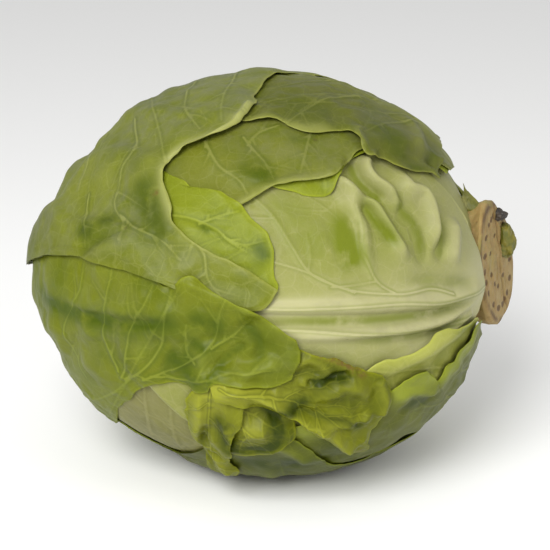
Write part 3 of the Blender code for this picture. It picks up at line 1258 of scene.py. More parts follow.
def leaf_plans() -> dict[str, Leaf]:
    """Every leaf's plan, in the order that they are laid.

    Returns:
        The plans by name.
    """
    plans = [
        Leaf("lower_inner_leaf", Slot.INNER, HUSK, (
            ((-100, 31), (-80, 27)), ((-60, 31), (-34, 52), (-14, 82), (-6, 108)),
            ((-10, 130), (-50, 148), (-95, 150)), ((-128, 132), (-142, 95), (-132, 58))),
            midrib=Vein(((-78, 30), (-74, 70), (-66, 105), (-60, 135)), 2.6, 1.0),
            veins=(Vein(((-68, 108), (-40, 112), (-16, 112)), 1.3, 0.5),
                   Vein(((-66, 118), (-40, 119), (-14, 119)), 1.2, 0.5)),
            seed=11, cell=1.1),
        Leaf("front_leaf", Slot.INNER, INNER, (
            ((-12, 23), (2, 19), (20, 18.5), (38, 21)), ((52, 30), (64, 48), (70, 78), (62, 106)),
            ((44, 122), (15, 130)), ((-15, 122), (-33, 103), (-38, 74), (-30, 44))),
            midrib=Vein(((8, 16), (7, 30), (7, 43), (9, 56), (9, 70), (9, 91), (10, 125)), 4.2, 3.4),
            veins=(Vein(((10, 38), (13, 46), (12, 56), (14, 70), (19, 80), (23, 92)), 2.8, 1.5, 0),
                   Vein(((13, 68), (18, 78), (26, 83), (35, 88), (44, 96)), 2.2, 1.0, 2),
                   Vein(((-6, 28), (-3, 44), (0, 60), (3, 81), (3, 100)), 2.4, 1.4, 0),
                   Vein(((12, 57), (16, 62), (24, 66), (34, 72), (42, 82)), 1.8, 0.6, 3)),
            folds=(Fold(((6, 22), (4, 34), (4, 52), (5, 72), (6, 96)), -3.0, 2.0, 2.6),
                   Fold(((3, 22), (0, 34), (0, 52), (1, 72), (2, 92)), 2.2, 2.4, 2.6),
                   Fold(((1, 24), (-4, 36), (-3, 52), (-1, 74)), -1.8, 2.0, 2.4),
                   Fold(((-1, 25), (-8, 38), (-10, 52), (-13, 64)), 2.2, 2.4, 3.0),
                   Fold(((-4, 27), (-11, 38), (-14, 50), (-17, 60)), -1.6, 2.0, 2.4),
                   Fold(((14, 24), (15, 40), (16, 54)), -1.4, 3.0, 3.0),
                   Fold(((56, 64), (51, 65), (47, 63), (44, 58), (38, 54)), 4.6, 2.6, 3.0, 0.2),
                   Fold(((53, 69), (47, 67), (43, 63), (41, 60)), -3.6, 2.0, 2.2, 0.2),
                   Fold(((48, 75), (41, 67), (39, 63), (34, 60), (29, 57), (22, 53)), 4.0, 2.4, 2.8, 0.2),
                   Fold(((42, 67), (37, 64), (34, 62), (29, 58), (25, 56)), -3.0, 1.8, 2.2),
                   Fold(((47, 72), (37, 68), (32, 66), (24, 65), (18, 62)), 3.0, 3.0, 3.0),
                   Fold(((38, 72), (28, 70), (18, 67)), -2.8, 5, 4),
                   Fold(((56, 55), (49, 53), (48, 48), (39, 45), (27, 44)), 4.0, 2.8, 3.4, 0.25),
                   Fold(((48, 58), (40, 55), (36, 51), (30, 49), (20, 49)), -3.2, 2.6, 2.8),
                   Fold(((46, 36), (36, 36), (22, 38)), 2.2, 3.4, 4.5),
                   Fold(((44, 42), (34, 41), (22, 43)), -2.0, 2.4, 3.0)),
            greens=(Mark(((36, 84), (28, 78), (24, 70)), 11, 0.55), Mark(((40, 62), (30, 58)), 5, 0.35)),
            pales=(Mark(((45, 30), (20, 25), (-10, 28)), 18, 0.3), Mark(((0, 50), (2, 80)), 9, 0.4),
                   Mark(((9, 100), (9, 84), (9, 70)), 4, 0.9)),
            cell=0.62, thickness=0.9, base_swell=1.6, rib_width=16, pucker=0.45, pucker_cell=20,
            side_veins=0, reach=2.0, soften=3.0, pale_base=0.45, bloom_and_sky_reflection=0.45, ragged=0.2, seed=12),
        Leaf("lower_right_leaf", Slot.WRAPPER, SIDE, (
            ((-11, 24), (-36, 20)), ((-60, 24), (-60, 50), (-60, 74)),
            ((-52, 94), (-36, 97)), ((-22, 84), (-13, 68), (-9, 62), (-8, 54), (-6, 49), (-3, 42),
                                     (-5, 36), (-6, 31))),
            midrib=Vein(((-36, 22), (-36, 50), (-34, 90)), 2.2, 0.8),
            folds=(Fold(((-6, 34), (-8, 44), (-12, 56), (-14, 64)), 1.2, 3, 4),
                   Fold(((-10, 40), (-20, 44), (-26, 52)), -0.9, 2.5, 2.5)),
            greens=(Mark(((-10, 30), (-8, 36)), 4, 0.6),),
            lift=1.2, ragged=0.7, seed=13),
        Leaf("bottom_leaf", Slot.WRAPPER, LOW, (
            ((-14, 23), (-60, 19), (-95, 21)), ((-125, 26), (-148, 55), (-150, 88)),
            ((-138, 120), (-102, 130), (-78, 114)),
            ((-58, 101), (-32, 95), (-21, 72), (-20, 63), (-19, 57), (-17, 51), (-19, 47), (-26, 44),
             (-21, 41), (-23, 37), (-17, 36), (-18, 31), (-13, 28))),
            midrib=Vein(((-80, 22), (-82, 60), (-84, 100), (-88, 130)), 2.6, 1.0),
            veins=(Vein(((-60, 34), (-40, 46), (-26, 52)), 1.2, 0.4),
                   Vein(((-58, 26), (-40, 32), (-24, 33)), 1.2, 0.4)),
            folds=(Fold(((-22, 60), (-24, 52), (-30, 46), (-36, 42)), 1.6, 2.0, 2.6),
                   Fold(((-28, 58), (-31, 50), (-36, 43)), -1.2, 1.6, 2.0),
                   Fold(((-31, 53), (-45, 50), (-62, 48)), 0.9, 3.0, 4.0)),
            pales=(Mark(((-30, 90), (-22, 66), (-20, 56), (-22, 46), (-24, 40), (-18, 31)), 6.5, 0.95),),
            greens=(Mark(((-30, 70), (-40, 72)), 8, 0.6), Mark(((-28, 52), (-34, 48)), 3, 0.6)),
            lift=0.9, ragged=1.1, pucker=0.8, crumple=0.45, crumple_cell=11, seed=14, bloom_and_sky_reflection=0.5,
            side_veins=7),
        Leaf("upper_under_leaf", Slot.INNER, MID, (
            ((72, 37), (88, 35)), ((105, 37), (124, 60), (124, 90)),
            ((110, 114), (88, 122), (64, 112)),
            ((47, 98), (42, 87), (41, 82), (40, 78), (41, 74), (46, 72), (54, 67), (66, 52))),
            midrib=Vein(((88, 32), (86, 70), (80, 112)), 2.2, 0.8),
            veins=(Vein(((70, 74), (55, 76), (41, 75)), 1.0, 0.4),), side_veins=4, seed=15, cell=1.0,
            ragged=0.4, lift=0.6),
        Leaf("upper_inner_leaf", Slot.WRAPPER, EARLY, (
            ((76, 36), (95, 33)), ((114, 36), (134, 62), (130, 95)),
            ((114, 124), (88, 134), (60, 125)),
            ((36, 112), (33, 101), (36, 95), (39, 91), (42, 87), (43, 83), (44, 77), (45, 73), (50, 70),
             (56, 66), (62, 58), (68, 46))),
            midrib=Vein(((95, 29), (92, 70), (84, 124)), 2.4, 0.9),
            veins=(Vein(((58, 103), (52, 101), (48, 99), (44, 95), (40, 93)), 1.5, 0.6),
                   Vein(((58, 94), (54, 92), (49, 89), (44, 87)), 1.4, 0.5),
                   Vein(((62, 86), (59, 91), (55, 93)), 1.1, 0.4, 2),
                   Vein(((62, 78), (57, 79), (51, 80), (46, 81)), 1.2, 0.4, 4)),
            side_veins=4,
            folds=(Fold(((36, 96), (40, 90), (43, 84), (44, 77), (46, 73)), 1.3, 2.6, 1.2, 0.1),
                   Fold(((42, 94), (46, 87), (48, 80)), -0.8, 3.0, 3.0)),
            greens=(Mark(((47, 92), (45, 88)), 5, 0.9), Mark(((57, 82), (57, 80)), 3, 0.5)),
            pales=(Mark(((37, 95), (42, 88), (44, 78)), 3, 0.3),),
            lift=0.9, ragged=0.5, seed=16, cell=0.8, bloom_and_sky_reflection=0.5),
        Leaf("upper_right_leaf", Slot.WRAPPER, SHADED_TOP, (
            ((60, 42), (86, 41)), ((112, 41), (138, 58), (144, 85)),
            ((132, 115), (106, 128), (82, 118)),
            ((66, 102), (63, 93), (63, 87), (60, 83), (59, 77), (61, 72), (61, 69), (54, 67), (52, 65),
             (55, 61), (54, 55), (56, 51), (59, 46), (60, 42))),
            midrib=Vein(((88, 26), (92, 70), (100, 118)), 2.6, 1.0),
            veins=(Vein(((85, 50), (74, 58), (62, 66)), 1.4, 0.5),
                   Vein(((86, 66), (74, 76), (62, 84)), 1.4, 0.5),
                   Vein(((84, 38), (70, 40), (60, 42)), 1.3, 0.5)),
            folds=(Fold(((84, 56), (80, 51), (74, 50), (63, 51)), 2.0, 3.5, 3.0),
                   Fold(((80, 46), (70, 45), (60, 46)), -1.6, 3.5, 3.5),
                   Fold(((66, 66), (60, 68), (54, 66)), 1.6, 2.2, 2.2),
                   Fold(((76, 40), (68, 37), (60, 36)), 1.4, 3.5, 3.5),
                   Fold(((72, 90), (70, 80), (70, 70)), -0.9, 5, 5)),
            pales=(Mark(((62, 90), (60, 83), (60, 76)), 4, 0.75),),
            greens=(Mark(((56, 52), (58, 44)), 4, 0.8), Mark(((66, 60), (60, 56)), 6, 0.6)),
            lift=0.8, ragged=0.7, seed=17, cell=0.8, pucker=1.0, pucker_cell=15, crumple=0.4,
            crumple_cell=15, bloom_and_sky_reflection=0.55),
        Leaf("rear_upper_leaf", Slot.WRAPPER, SHADED_TOP, (
            ((122, 25), (140, 21)), ((160, 24), (192, 50), (200, 85)),
            ((188, 116), (164, 134), (138, 130)), ((124, 108), (118, 82), (120, 50))),
            midrib=Vein(((140, 22), (146, 60), (152, 100), (156, 132)), 3.6, 1.8), side_veins=7,
            lift=1.0, base_swell=2.5, seed=18, cell=0.9),
        Leaf("rear_lower_leaf", Slot.WRAPPER, WRAP, (
            ((186, 24), (206, 20)), ((226, 24), (236, 50), (234, 80)),
            ((226, 116), (202, 154), (170, 150)), ((152, 112), (150, 76), (164, 44))),
            midrib=Vein(((206, 22), (198, 60), (192, 100), (190, 148)), 3.6, 1.8), side_veins=7,
            lift=1.0, base_swell=2.5, seed=19, cell=0.9),
        Leaf("lower_middle_leaf", Slot.WRAPPER, LOW, (
            ((-96, 24), (-112, 21)), ((-128, 24), (-150, 46), (-160, 82), (-150, 116)),
            ((-128, 140), (-95, 150), (-72, 138)),
            ((-66, 124), (-66, 113), (-54, 103), (-36, 101), (-24, 94), (-25, 86), (-30, 82), (-35, 79),
             (-42, 76), (-48, 74), (-60, 66), (-70, 54), (-84, 38))),
            midrib=Vein(((-112, 23), (-108, 60), (-98, 100), (-86, 140)), 2.4, 0.9),
            veins=(Vein(((-86, 80), (-60, 84), (-40, 86)), 1.4, 0.5),
                   Vein(((-86, 94), (-60, 97), (-40, 96)), 1.4, 0.5)),
            greens=(Mark(((-42, 92), (-44, 84)), 9, 0.9), Mark(((-56, 90), (-57, 88)), 3, 1.0)),
            folds=(Fold(((-30, 90), (-34, 84), (-44, 78)), 1.6, 3, 3),
                   Fold(((-36, 84), (-46, 82), (-56, 84)), -1.2, 2.2, 2.6),
                   Fold(((-40, 92), (-50, 88), (-60, 88)), 1.2, 3.4, 3.4)),
            lift=0.6, ragged=0.8, seed=20, cell=1.0, bloom_and_sky_reflection=0.5, side_veins=7),
        Leaf("torn_leaf_pocket", Slot.TORN, TORN, (
            ((-13, 102), (-13, 94)), ((-14, 87), (-20, 84), (-27, 83)),
            ((-33, 87), (-36, 93)), ((-35, 99), (-25, 103))),
            midrib=Vein(((-14, 98), (-24, 94), (-34, 91)), 1.0, 0.4), side_veins=3,
            folds=(Fold(((-22, 97), (-25, 93), (-25, 88)), 3.2, 3.6, 3.6, 0.2),
                   Fold(((-18, 98), (-18, 90), (-25, 86), (-31, 88), (-33, 95), (-27, 99)),
                        -1.6, 1.8, 1.8, 0.1)),
            greens=(Mark(((-17, 100), (-18, 90), (-25, 86), (-31, 88), (-34, 95), (-27, 100), (-18, 99)),
                         2.6, 1.0),),
            cell=0.45, lift=1.0, ragged=1.0, crumple=0.5, crumple_cell=7, pucker=0.3, reach=1.5,
            soften=1.5, seed=31, bloom_and_sky_reflection=0.1),
        Leaf("torn_leaf_flap", Slot.TORN, TORN, (
            ((-10, 105), (-11, 99), (-13, 94)), ((-22, 94), (-32, 97), (-42, 97), (-50, 95)),
            ((-56, 97), (-57, 100)), ((-53, 103), (-44, 104), (-33, 107), (-22, 107))),
            midrib=Vein(((-12, 101), (-30, 102), (-52, 100)), 1.4, 0.6), side_veins=3,
            folds=(Fold(((-14, 104), (-24, 104), (-34, 105), (-44, 103)), 2.2, 2.0, 2.6, 0.2),
                   Fold(((-22, 99), (-28, 97), (-30, 95)), 2.0, 1.6, 2.0, 0.2),
                   Fold(((-40, 101), (-46, 99), (-50, 98)), 3.0, 3.2, 3.2, 0.2),
                   Fold(((-26, 102), (-40, 104), (-50, 101)), -1.6, 1.8, 1.8, 0.2)),
            greens=(Mark(((-24, 99), (-32, 97)), 4, 0.9),),
            cell=0.4, lift=2.2, ragged=1.2, crumple=0.9, crumple_cell=9, pucker=0.3, reach=1.5,
            soften=1.5, seed=21, bloom_and_sky_reflection=0.3),
        Leaf("torn_leaf", Slot.TORN, TORN, (
            ((-16, 100), (-9, 101)), ((-7, 94), (-6, 87), (-1, 82), (-4, 76), (-7, 70), (-11, 65)),
            ((-13, 61), (-19, 60), (-26, 61), (-34, 65), (-43, 65)),
            ((-42, 69), (-34, 73), (-29, 78), (-22, 83), (-19, 90))),
            midrib=Vein(((-12, 99), (-14, 88), (-20, 78), (-28, 70)), 1.6, 0.4), side_veins=4,
            folds=(Fold(((-13, 100), (-13, 93), (-16, 87), (-22, 81), (-27, 75), (-38, 69)),
                        3.6, 1.8, 2.4, 0.1),
                   Fold(((-2, 80), (-4, 76), (-7, 71), (-10, 67)), 1.8, 1.6, 2.6, 0.15),
                   Fold(((-8, 84), (-5, 79), (-9, 75), (-13, 78)), 2.6, 2.4, 2.4, 0.15),
                   Fold(((-10, 82), (-14, 75), (-13, 70), (-19, 64)), 3.2, 3.4, 3.4, 0.15),
                   Fold(((-12, 80), (-11, 74), (-10, 69)), -2.4, 1.6, 1.8, 0.15),
                   Fold(((-24, 78), (-25, 70), (-24, 64)), 2.4, 2.2, 2.8, 0.15),
                   Fold(((-19, 84), (-23, 74), (-27, 66)), -1.8, 1.6, 1.8, 0.15),
                   Fold(((-14, 62), (-20, 61), (-26, 62)), 2.2, 2.0, 2.0, 0.15)),
            greens=(Mark(((-10, 75), (-11, 70)), 3, 0.7), Mark(((-20, 88), (-17, 80)), 3, 0.9),
                    Mark(((-24, 66), (-27, 68)), 3, 0.6),
                    Mark(((-13, 77), (-18, 69), (-23, 66)), 6, 0.45)),
            bruises=(Mark(((0, 81), (-3, 77), (-6, 72), (-11, 66)), 1.3, 0.9),
                     Mark(((-38, 69), (-41, 66)), 1.2, 0.5)),
            cell=0.38, lift=2.0, ragged=1.4, crumple=1.0, crumple_cell=9, pucker=0.3, reach=1.5,
            soften=1.5, seed=22, bloom_and_sky_reflection=0.25),
        Leaf("middle_leaf", Slot.WRAPPER, MID, (
            ((-120, 162), (180, 152)), ((120, 148), (84, 138), (66, 124)),
            ((49, 112), (46, 108), (43, 106), (42, 103), (41, 99), (38, 96), (36, 94), (33, 92), (30, 89),
             (27, 88), (23, 87), (18, 87), (14, 86)),
            ((9, 90), (2, 104), (-5, 130), (-30, 158))),
            midrib=Vein(((40, 150), (38, 128), (35, 110), (31, 101), (27, 97), (24, 93)), 1.8, 0.7),
            veins=(Vein(((32, 104), (34, 99), (35, 95)), 1.2, 0.4, 3),
                   Vein(((28, 98), (26, 94), (27, 89)), 1.2, 0.4, 3),
                   Vein(((30, 112), (24, 103), (19, 94)), 1.2, 0.4, 4)),
            greens=(Mark(((25, 90), (23, 89)), 3.2, 1.0), Mark(((31, 103), (30, 102)), 1.4, 0.8)),
            pales=(Mark(((34, 92), (28, 88), (20, 87)), 2.5, 0.35),),
            side_veins=0, lift=1.0, ragged=0.45, pucker=0.6, seed=23, cell=0.75, bloom_and_sky_reflection=0.25,
            pale_base=0.0),
        Leaf("upper_left_leaf", Slot.WRAPPER, LEFT, (
            ((174, 26), (158, 21)), ((142, 25), (124, 56), (100, 82), (78, 91), (70, 91), (63, 94),
                                     (59, 98), (57, 103), (55, 108), (53, 111), (46, 112), (38, 110),
                                     (33, 110), (28, 106), (24, 101), (21, 96), (18, 91)),
            ((14, 86), (9, 90), (10, 98), (13, 106), (18, 112), (22, 119), (25, 125), (24, 131), (27, 138),
             (33, 142), (44, 145)),
            ((62, 149), (112, 166), (190, 150), (189, 114), (184, 68))),
            midrib=Vein(((158, 22), (152, 60), (140, 96), (112, 126), (84, 136), (60, 140)), 3.4, 1.4),
            veins=(Vein(((84, 122), (64, 121), (57, 124), (51, 125), (42, 126), (35, 123), (29, 123)),
                        1.5, 0.6),
                   Vein(((98, 106), (84, 108), (74, 108), (62, 104)), 1.4, 0.5),
                   Vein(((54, 136), (44, 136), (34, 134), (29, 134)), 1.3, 0.5),
                   Vein(((38, 124), (33, 120), (28, 113), (22, 108)), 1.3, 0.45, 4),
                   Vein(((32, 108), (24, 103), (17, 102), (11, 98)), 1.2, 0.4, 4),
                   Vein(((100, 96), (88, 97), (74, 99), (64, 99)), 1.3, 0.45, 4)),
            side_veins=3,
            folds=(Fold(((70, 92), (63, 95), (59, 99), (56, 104), (54, 109)), 2.6, 2.0, 1.6, 0.12),
                   Fold(((52, 112), (44, 112), (36, 110), (31, 108), (26, 103), (20, 94)),
                        1.0, 1.6, 1.6, 0.1),
                   Fold(((36, 119), (32, 126), (27, 134), (24, 138)), -1.2, 2.2, 2.6),
                   Fold(((30, 119), (27, 126), (25, 132)), 0.9, 3, 3),
                   Fold(((66, 130), (50, 130), (38, 131)), 0.8, 5, 5),
                   Fold(((60, 112), (48, 118), (40, 121)), 0.7, 5, 5)),
            greens=(Mark(((36, 135), (34, 133)), 4, 0.9), Mark(((37, 129), (37, 127)), 3, 0.8),
                    Mark(((44, 117), (36, 115), (31, 113)), 6, 0.85), Mark(((20, 147), (18, 146)), 3, 0.6),
                    Mark(((60, 120), (52, 119)), 4, 0.3)),
            pales=(Mark(((68, 92), (60, 98), (54, 110), (44, 112), (34, 110)), 2.4, 1.0),),
            bruises=(Mark(((42, 114.2), (42, 113.8)), 0.9, 1.0),),
            lift=0.25, ragged=0.4, pucker=0.85, reach=1.4, soften=1.8, crumple=0.22, crumple_cell=17,
            seed=24, cell=0.78, base_swell=2.0, bloom_and_sky_reflection=0.55),
        Leaf("lower_left_leaf", Slot.WRAPPER, WRAP, (
            ((-148, 25), (-137, 21)), ((-125, 24), (-133, 55), (-130, 85), (-118, 110), (-86, 127),
                                       (-60, 129), (-44, 128), (-37, 126), (-30, 123), (-24, 121),
                                       (-18, 116), (-15, 110), (-15, 105), (-14, 102), (-11, 100),
                                       (-11, 94), (-12, 88)),
            ((-10, 83), (-3, 81)),
            ((1, 82), (5, 87), (9, 92), (12, 98), (15, 102), (17.5, 104.5), (17.5, 107), (15, 109.5),
             (15.5, 113), (22, 117), (33, 122), (38, 133), (48, 145),
             (70, 152), (112, 170), (198, 158), (211, 118), (210, 70))),
            midrib=Vein(((-137, 23), (-134, 60), (-126, 95), (-108, 128), (-70, 141), (-44, 134),
                         (-28, 127), (-18, 122)), 3.2, 1.3),
            veins=(Vein(((-20, 125), (-12, 123), (-3, 122), (4, 120), (9, 117), (15, 115)), 1.4, 0.7),
                   Vein(((-20, 124), (-15, 120), (-9, 116), (-2, 113), (5, 112), (15, 110)), 1.5, 0.8),
                   Vein(((-18, 126), (-12, 128), (-5, 130), (9, 128), (18, 126), (24, 125)), 1.4, 0.7),
                   Vein(((-34, 138), (-15, 146), (3, 142), (13, 138), (24, 136)), 1.4, 0.6),
                   Vein(((-16, 118), (-8, 108), (-2, 102), (2, 100), (8, 99), (13, 97)), 1.3, 0.6),
                   Vein(((-2, 101), (2, 96), (7, 92)), 1.0, 0.5, 3),
                   Vein(((-7, 105), (-3, 107), (4, 107)), 1.0, 0.4, 3),
                   Vein(((-14, 116), (-12, 106), (-8, 97), (-7, 88)), 1.2, 0.5, 4),
                   Vein(((-60, 142), (-40, 156), (-10, 160), (10, 156)), 1.3, 0.5)),
            folds=(Fold(((1, 157), (1, 142), (2, 130), (3, 119), (5, 110)), -1.1, 2.4, 2.0, 0.15),
                   Fold(((6, 150), (5, 138), (6, 126), (7, 116)), 0.9, 4.0, 3.0),
                   Fold(((-4, 140), (-4, 128), (-2, 118)), 0.7, 4.0, 4.0),
                   Fold(((-12, 102), (-8, 100), (-4, 97), (0, 93)), -2.2, 1.5, 1.8, 0.2),
                   Fold(((-12, 105), (-6, 103), (1, 102)), 1.6, 2.4, 3.0),
                   Fold(((-9, 96), (-6, 90), (-4, 85)), 2.0, 2.6, 3.0),
                   Fold(((6, 95), (2, 91), (-3, 90), (-7, 92)), -1.5, 1.8, 2.0),
                   Fold(((12, 108), (4, 114), (-6, 118), (-14, 119)), 1.2, 2.4, 3.4),
                   Fold(((-16, 112), (-9, 112), (-2, 109)), -1.4, 1.8, 2.2),
                   Fold(((16, 107), (13, 100), (9, 93), (3, 84)), 0.9, 1.6, 1.6, 0.1),
                   Fold(((24, 118), (20, 126), (22, 134)), 0.6, 3, 3)),
            greens=(Mark(((1, 158), (0, 142), (1, 130), (2, 120), (4, 111)), 5.5, 0.85),
                    Mark(((6, 104), (4, 100)), 4.5, 0.9), Mark(((-1, 105), (-2, 103)), 2.5, 0.9),
                    Mark(((-7, 109), (-12, 105)), 4, 0.9), Mark(((-5, 107), (-6, 106)), 2, 1.0),
                    Mark(((-14, 104), (-12, 98)), 3, 0.5), Mark(((4, 92), (0, 88)), 5, 0.35)),
            lift=0.4, ragged=0.45, pucker=0.95, pucker_cell=15, reach=1.4, soften=1.8, crumple=0.32,
            crumple_cell=15, seed=25, cell=0.8, base_swell=2.0, bloom_and_sky_reflection=0.35),
    ]
    return {leaf.name: leaf for leaf in plans}


# ---------------------------------------------------------------- heart and stalk

def ringed(name: str, rings: Array, paint: dict[str, Array], first: Array, last: Array) -> bpy.types.Object:
    """Closed surface from rings of points with a single point at each end.

    Args:
        name: the object's name.
        rings: ring, place on the ring, and coordinate.
        paint: values for the rings' points.
        first: the point that closes the first ring.
        last: the point that closes the last ring.

    Returns:
        The object. Rings must run so that faces look outwards: turning left as they advance.
    """
    count, sides = rings.shape[:2]
    index = 1 + np.arange(count * sides).reshape(count, sides)
    after = np.roll(index, -1, axis=1)
    quads = np.stack([index[:-1], index[1:], after[1:], after[:-1]], -1).reshape(-1, 4)
    start = np.stack([np.zeros(sides, int), index[0], after[0]], -1)
    end = np.stack([np.full(sides, 1 + count * sides), after[-1], index[-1]], -1)
    corners = np.concatenate([quads.ravel(), start.ravel(), end.ravel()])
    sizes = np.concatenate([np.full(len(quads), 4), np.full(2 * sides, 3)])
    piece = mesh_object(name, np.vstack([[first], rings.reshape(-1, 3), [last]]), corners, sizes)
    for key, values in paint.items():
        store(piece, key, [values[0].mean()], values.ravel(), [values[-1].mean()])
    return piece


@dataclass
class Heart:
    """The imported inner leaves: a finely waved egg that shows only between leaf bases."""

    form: Form
    rows: int = 120
    sides: int = 200
    depth: float = SHOWN_DEPTH + 0.4 * MM

    def build(self, lift: Array) -> bpy.types.Object:
        """Builds the heart.

        Args:
            lift: from the head's centre to its place on the floor.

        Returns:
            The object with its material.
        """
        along = np.linspace(0, 180, self.rows + 1)[1:-1]
        around = -np.arange(self.sides) * 360 / self.sides
        n = direction(*np.meshgrid(around, along))
        noise = Noise(3)
        height = -self.depth + 0.5 * MM * noise.rough(n, 0.35, 3) - 0.5 * MM
        points = self.form.point(n, height) + lift
        ends = self.form.point(np.array([[1.0, 0, 0], [-1.0, 0, 0]]), np.full(2, -self.depth)) + lift
        pale = np.full(height.shape, 0.3)
        piece = ringed("heart_shown", points, {"pale": pale}, ends[0], ends[1])
        piece.data.materials.append(leaf_material("heart", INNER))
        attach(piece, "root")
        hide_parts("heart")
        return piece


@dataclass
class Stalk:
    """The cut stalk: a short stub with a slanted cut face, a ring of vessels, and leaf scars."""

    form: Form
    radius: float = 24.0 * MM
    neck: float = 21.5 * MM
    rise: float = 5.5 * MM
    foot: float = 68.0 * MM
    face: float = 93.8 * MM
    slant: tuple[float, float] = (0.36, -0.16)
    sides: int = 260
    vessels: int = 19

    def build(self, lift: Array) -> list[bpy.types.Object]:
        """Builds the stub, a green nub, a dried lump and a leaf scar.

        Args:
            lift: from the head's centre to its place on the floor.

        Returns:
            The objects with their materials.
        """
        green, tan, dark = (0.09, 0.095, 0.006), (0.17, 0.145, 0.010), (0.022, 0.018, 0.014)
        pieces = [
            self._stub(lift),
            self._blob("stalk_nub", (98.2, 13.0, 10.2), (4.2, 5.4, 7.4), 5, lift, tan, green),
            self._blob("stalk_lump", (94.4, 9.0, 22.6), (3.2, 3.4, 2.6), 6, lift, dark, (0.05, 0.035, 0.02)),
            self._blob("stalk_scar", (84.0, -2.0, 28.6), (4.8, 3.6, 8.0), 7, lift, (0.17, 0.16, 0.02),
                       green, lean=-0.30, point=0.85),
        ]
        for piece in pieces:
            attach(piece, "root")
        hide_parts("stalk")
        return pieces

    def _stub(self, lift: Array) -> bpy.types.Object:
        """The stub itself: a profile turned round the stem axis, then slanted and roughened.

        Args:
            lift: from the head's centre to its place on the floor.

        Returns:
            The object with its material.
        """
        r = self.radius
        stops = np.array([(0.0, self.neck), (0.45, self.neck), (0.68, self.neck + 1.0 * MM), (0.86, r),
                          (0.96, r), (0.99, r - 0.8 * MM), (1.0, r - 2.0 * MM), (0.995, r * 0.62),
                          (0.99, r * 0.3), (0.985, 0.8 * MM)])
        profile = spaced(stops * [self.face - self.foot, 1], 150)
        turn = -np.arange(self.sides) * 2 * math.pi / self.sides
        noise = Noise(8)
        circle = np.stack([np.cos(turn), np.sin(turn)], -1)
        lobes = 1 + 0.035 * np.cos(3 * turn + 0.6) + 0.022 * np.sin(5 * turn)
        radius = profile[:, 1:] * lobes[None, :]
        level = np.repeat(profile[:, None, :1], self.sides, 1)
        spots = np.concatenate([level, radius[..., None] * circle], -1)
        onward = run_along(profile)
        top = np.clip((profile[:, 0] / (self.face - self.foot) - 0.9) / 0.1, 0, 1)[:, None]
        inside = ease(0.98, 0.80, radius / r) * (onward > onward[-1] * 0.55)[:, None]
        spots[..., 1:] *= 1 + 0.035 * noise.rough(spots, 9 * MM, 3)[..., None] * (1 - inside[..., None])
        rough = noise.rough(spots, 4 * MM, 3)
        vessel = np.zeros(rough.shape)
        for ring, count, size in ((0.76, self.vessels, 1.25), (0.42, 8, 1.0)):
            for order in range(count):
                angle = 2 * math.pi * (order + 0.3 * math.sin(5 * order)) / count
                out = ring * r * (1 + 0.05 * math.sin(7 * order))
                centre = out * np.array([math.cos(angle), math.sin(angle)])
                away = np.linalg.norm((spots[..., 1:] - centre) * [0.55, 1.0], axis=-1)
                vessel = np.maximum(vessel, np.exp(-(away / (size * MM)) ** 2))
        vessel *= inside
        middle = spots[..., 1] - 4.5 * MM - 1.2 * MM * np.sin(spots[..., 2] / (6 * MM))
        groove = np.exp(-(middle / (0.9 * MM)) ** 2) * inside
        height = 0.5 * MM * rough * inside - 0.5 * MM * vessel - 0.9 * MM * groove
        share = np.clip(spots[..., 0] / (self.face - self.foot), 0, 1)
        x = self.foot + spots[..., 0] + height + (spots[..., 1:] @ np.array(self.slant)) * share ** 2
        points = np.stack([x, spots[..., 1], spots[..., 2] + self.rise], -1) + lift
        ends = np.array([[self.foot, 0, self.rise], [self.face - 0.4 * MM, 0, self.rise]]) + lift
        edge = np.exp(-((radius / r - 0.97) / 0.06) ** 2) * top
        paint = {"vessel": vessel, "groove": groove, "edge": edge,
                 "green": ease(0.1, 0.9, noise.rough(spots + 1, 13 * MM, 2)) * (1 - 0.7 * inside)}
        piece = ringed("stalk_stub", points, paint, ends[0], ends[1])
        piece.data.materials.append(self._material())
        return piece

    def _material(self) -> bpy.types.Material:
        """Dry cut flesh: tan with fibres, dark vessels and groove, brown edge and green tinges.

        Returns:
            The material.
        """
        g = Graph("stalk")
        fibres = g.noise(160, 5, 0.65)
        colour = g.mix(g.ramp(fibres, 0.35, 0.75), (0.32, 0.225, 0.080), (0.24, 0.155, 0.05))
        colour = g.mix(g.times(g.attribute("green"), 0.75), colour, (0.25, 0.25, 0.05))
        colour = g.mix(g.ramp(g.noise(38, 3), 0.52, 0.75), colour, (0.33, 0.245, 0.10))
        colour = g.mix(g.times(g.attribute("groove"), 0.75), colour, (0.11, 0.055, 0.016))
        dots = g.times(g.ramp(g.attribute("vessel"), 0.25, 0.6), 0.85)
        colour = g.mix(dots, colour, (0.085, 0.042, 0.012))
        colour = g.mix(g.times(g.attribute("edge"), g.ramp(g.noise(140, 3), 0.3, 0.6)),
                       colour, (0.10, 0.055, 0.018))
        colour = g.mix(g.times(g.dots(210.0, 0.08, 0.16), 0.3), colour, (0.08, 0.045, 0.02))
        g.shader.inputs["Specular IOR Level"].default_value = 0.3
        g.shader.inputs["Subsurface Weight"].default_value = 0.08
        g.shader.inputs["Subsurface Scale"].default_value = 0.003
        rough = g.plus(g.times(fibres, 0.25), 0.5)
        return g.dressed(colour, rough, g.noise(420, 5, 0.6), 0.7, 0.7 * MM)

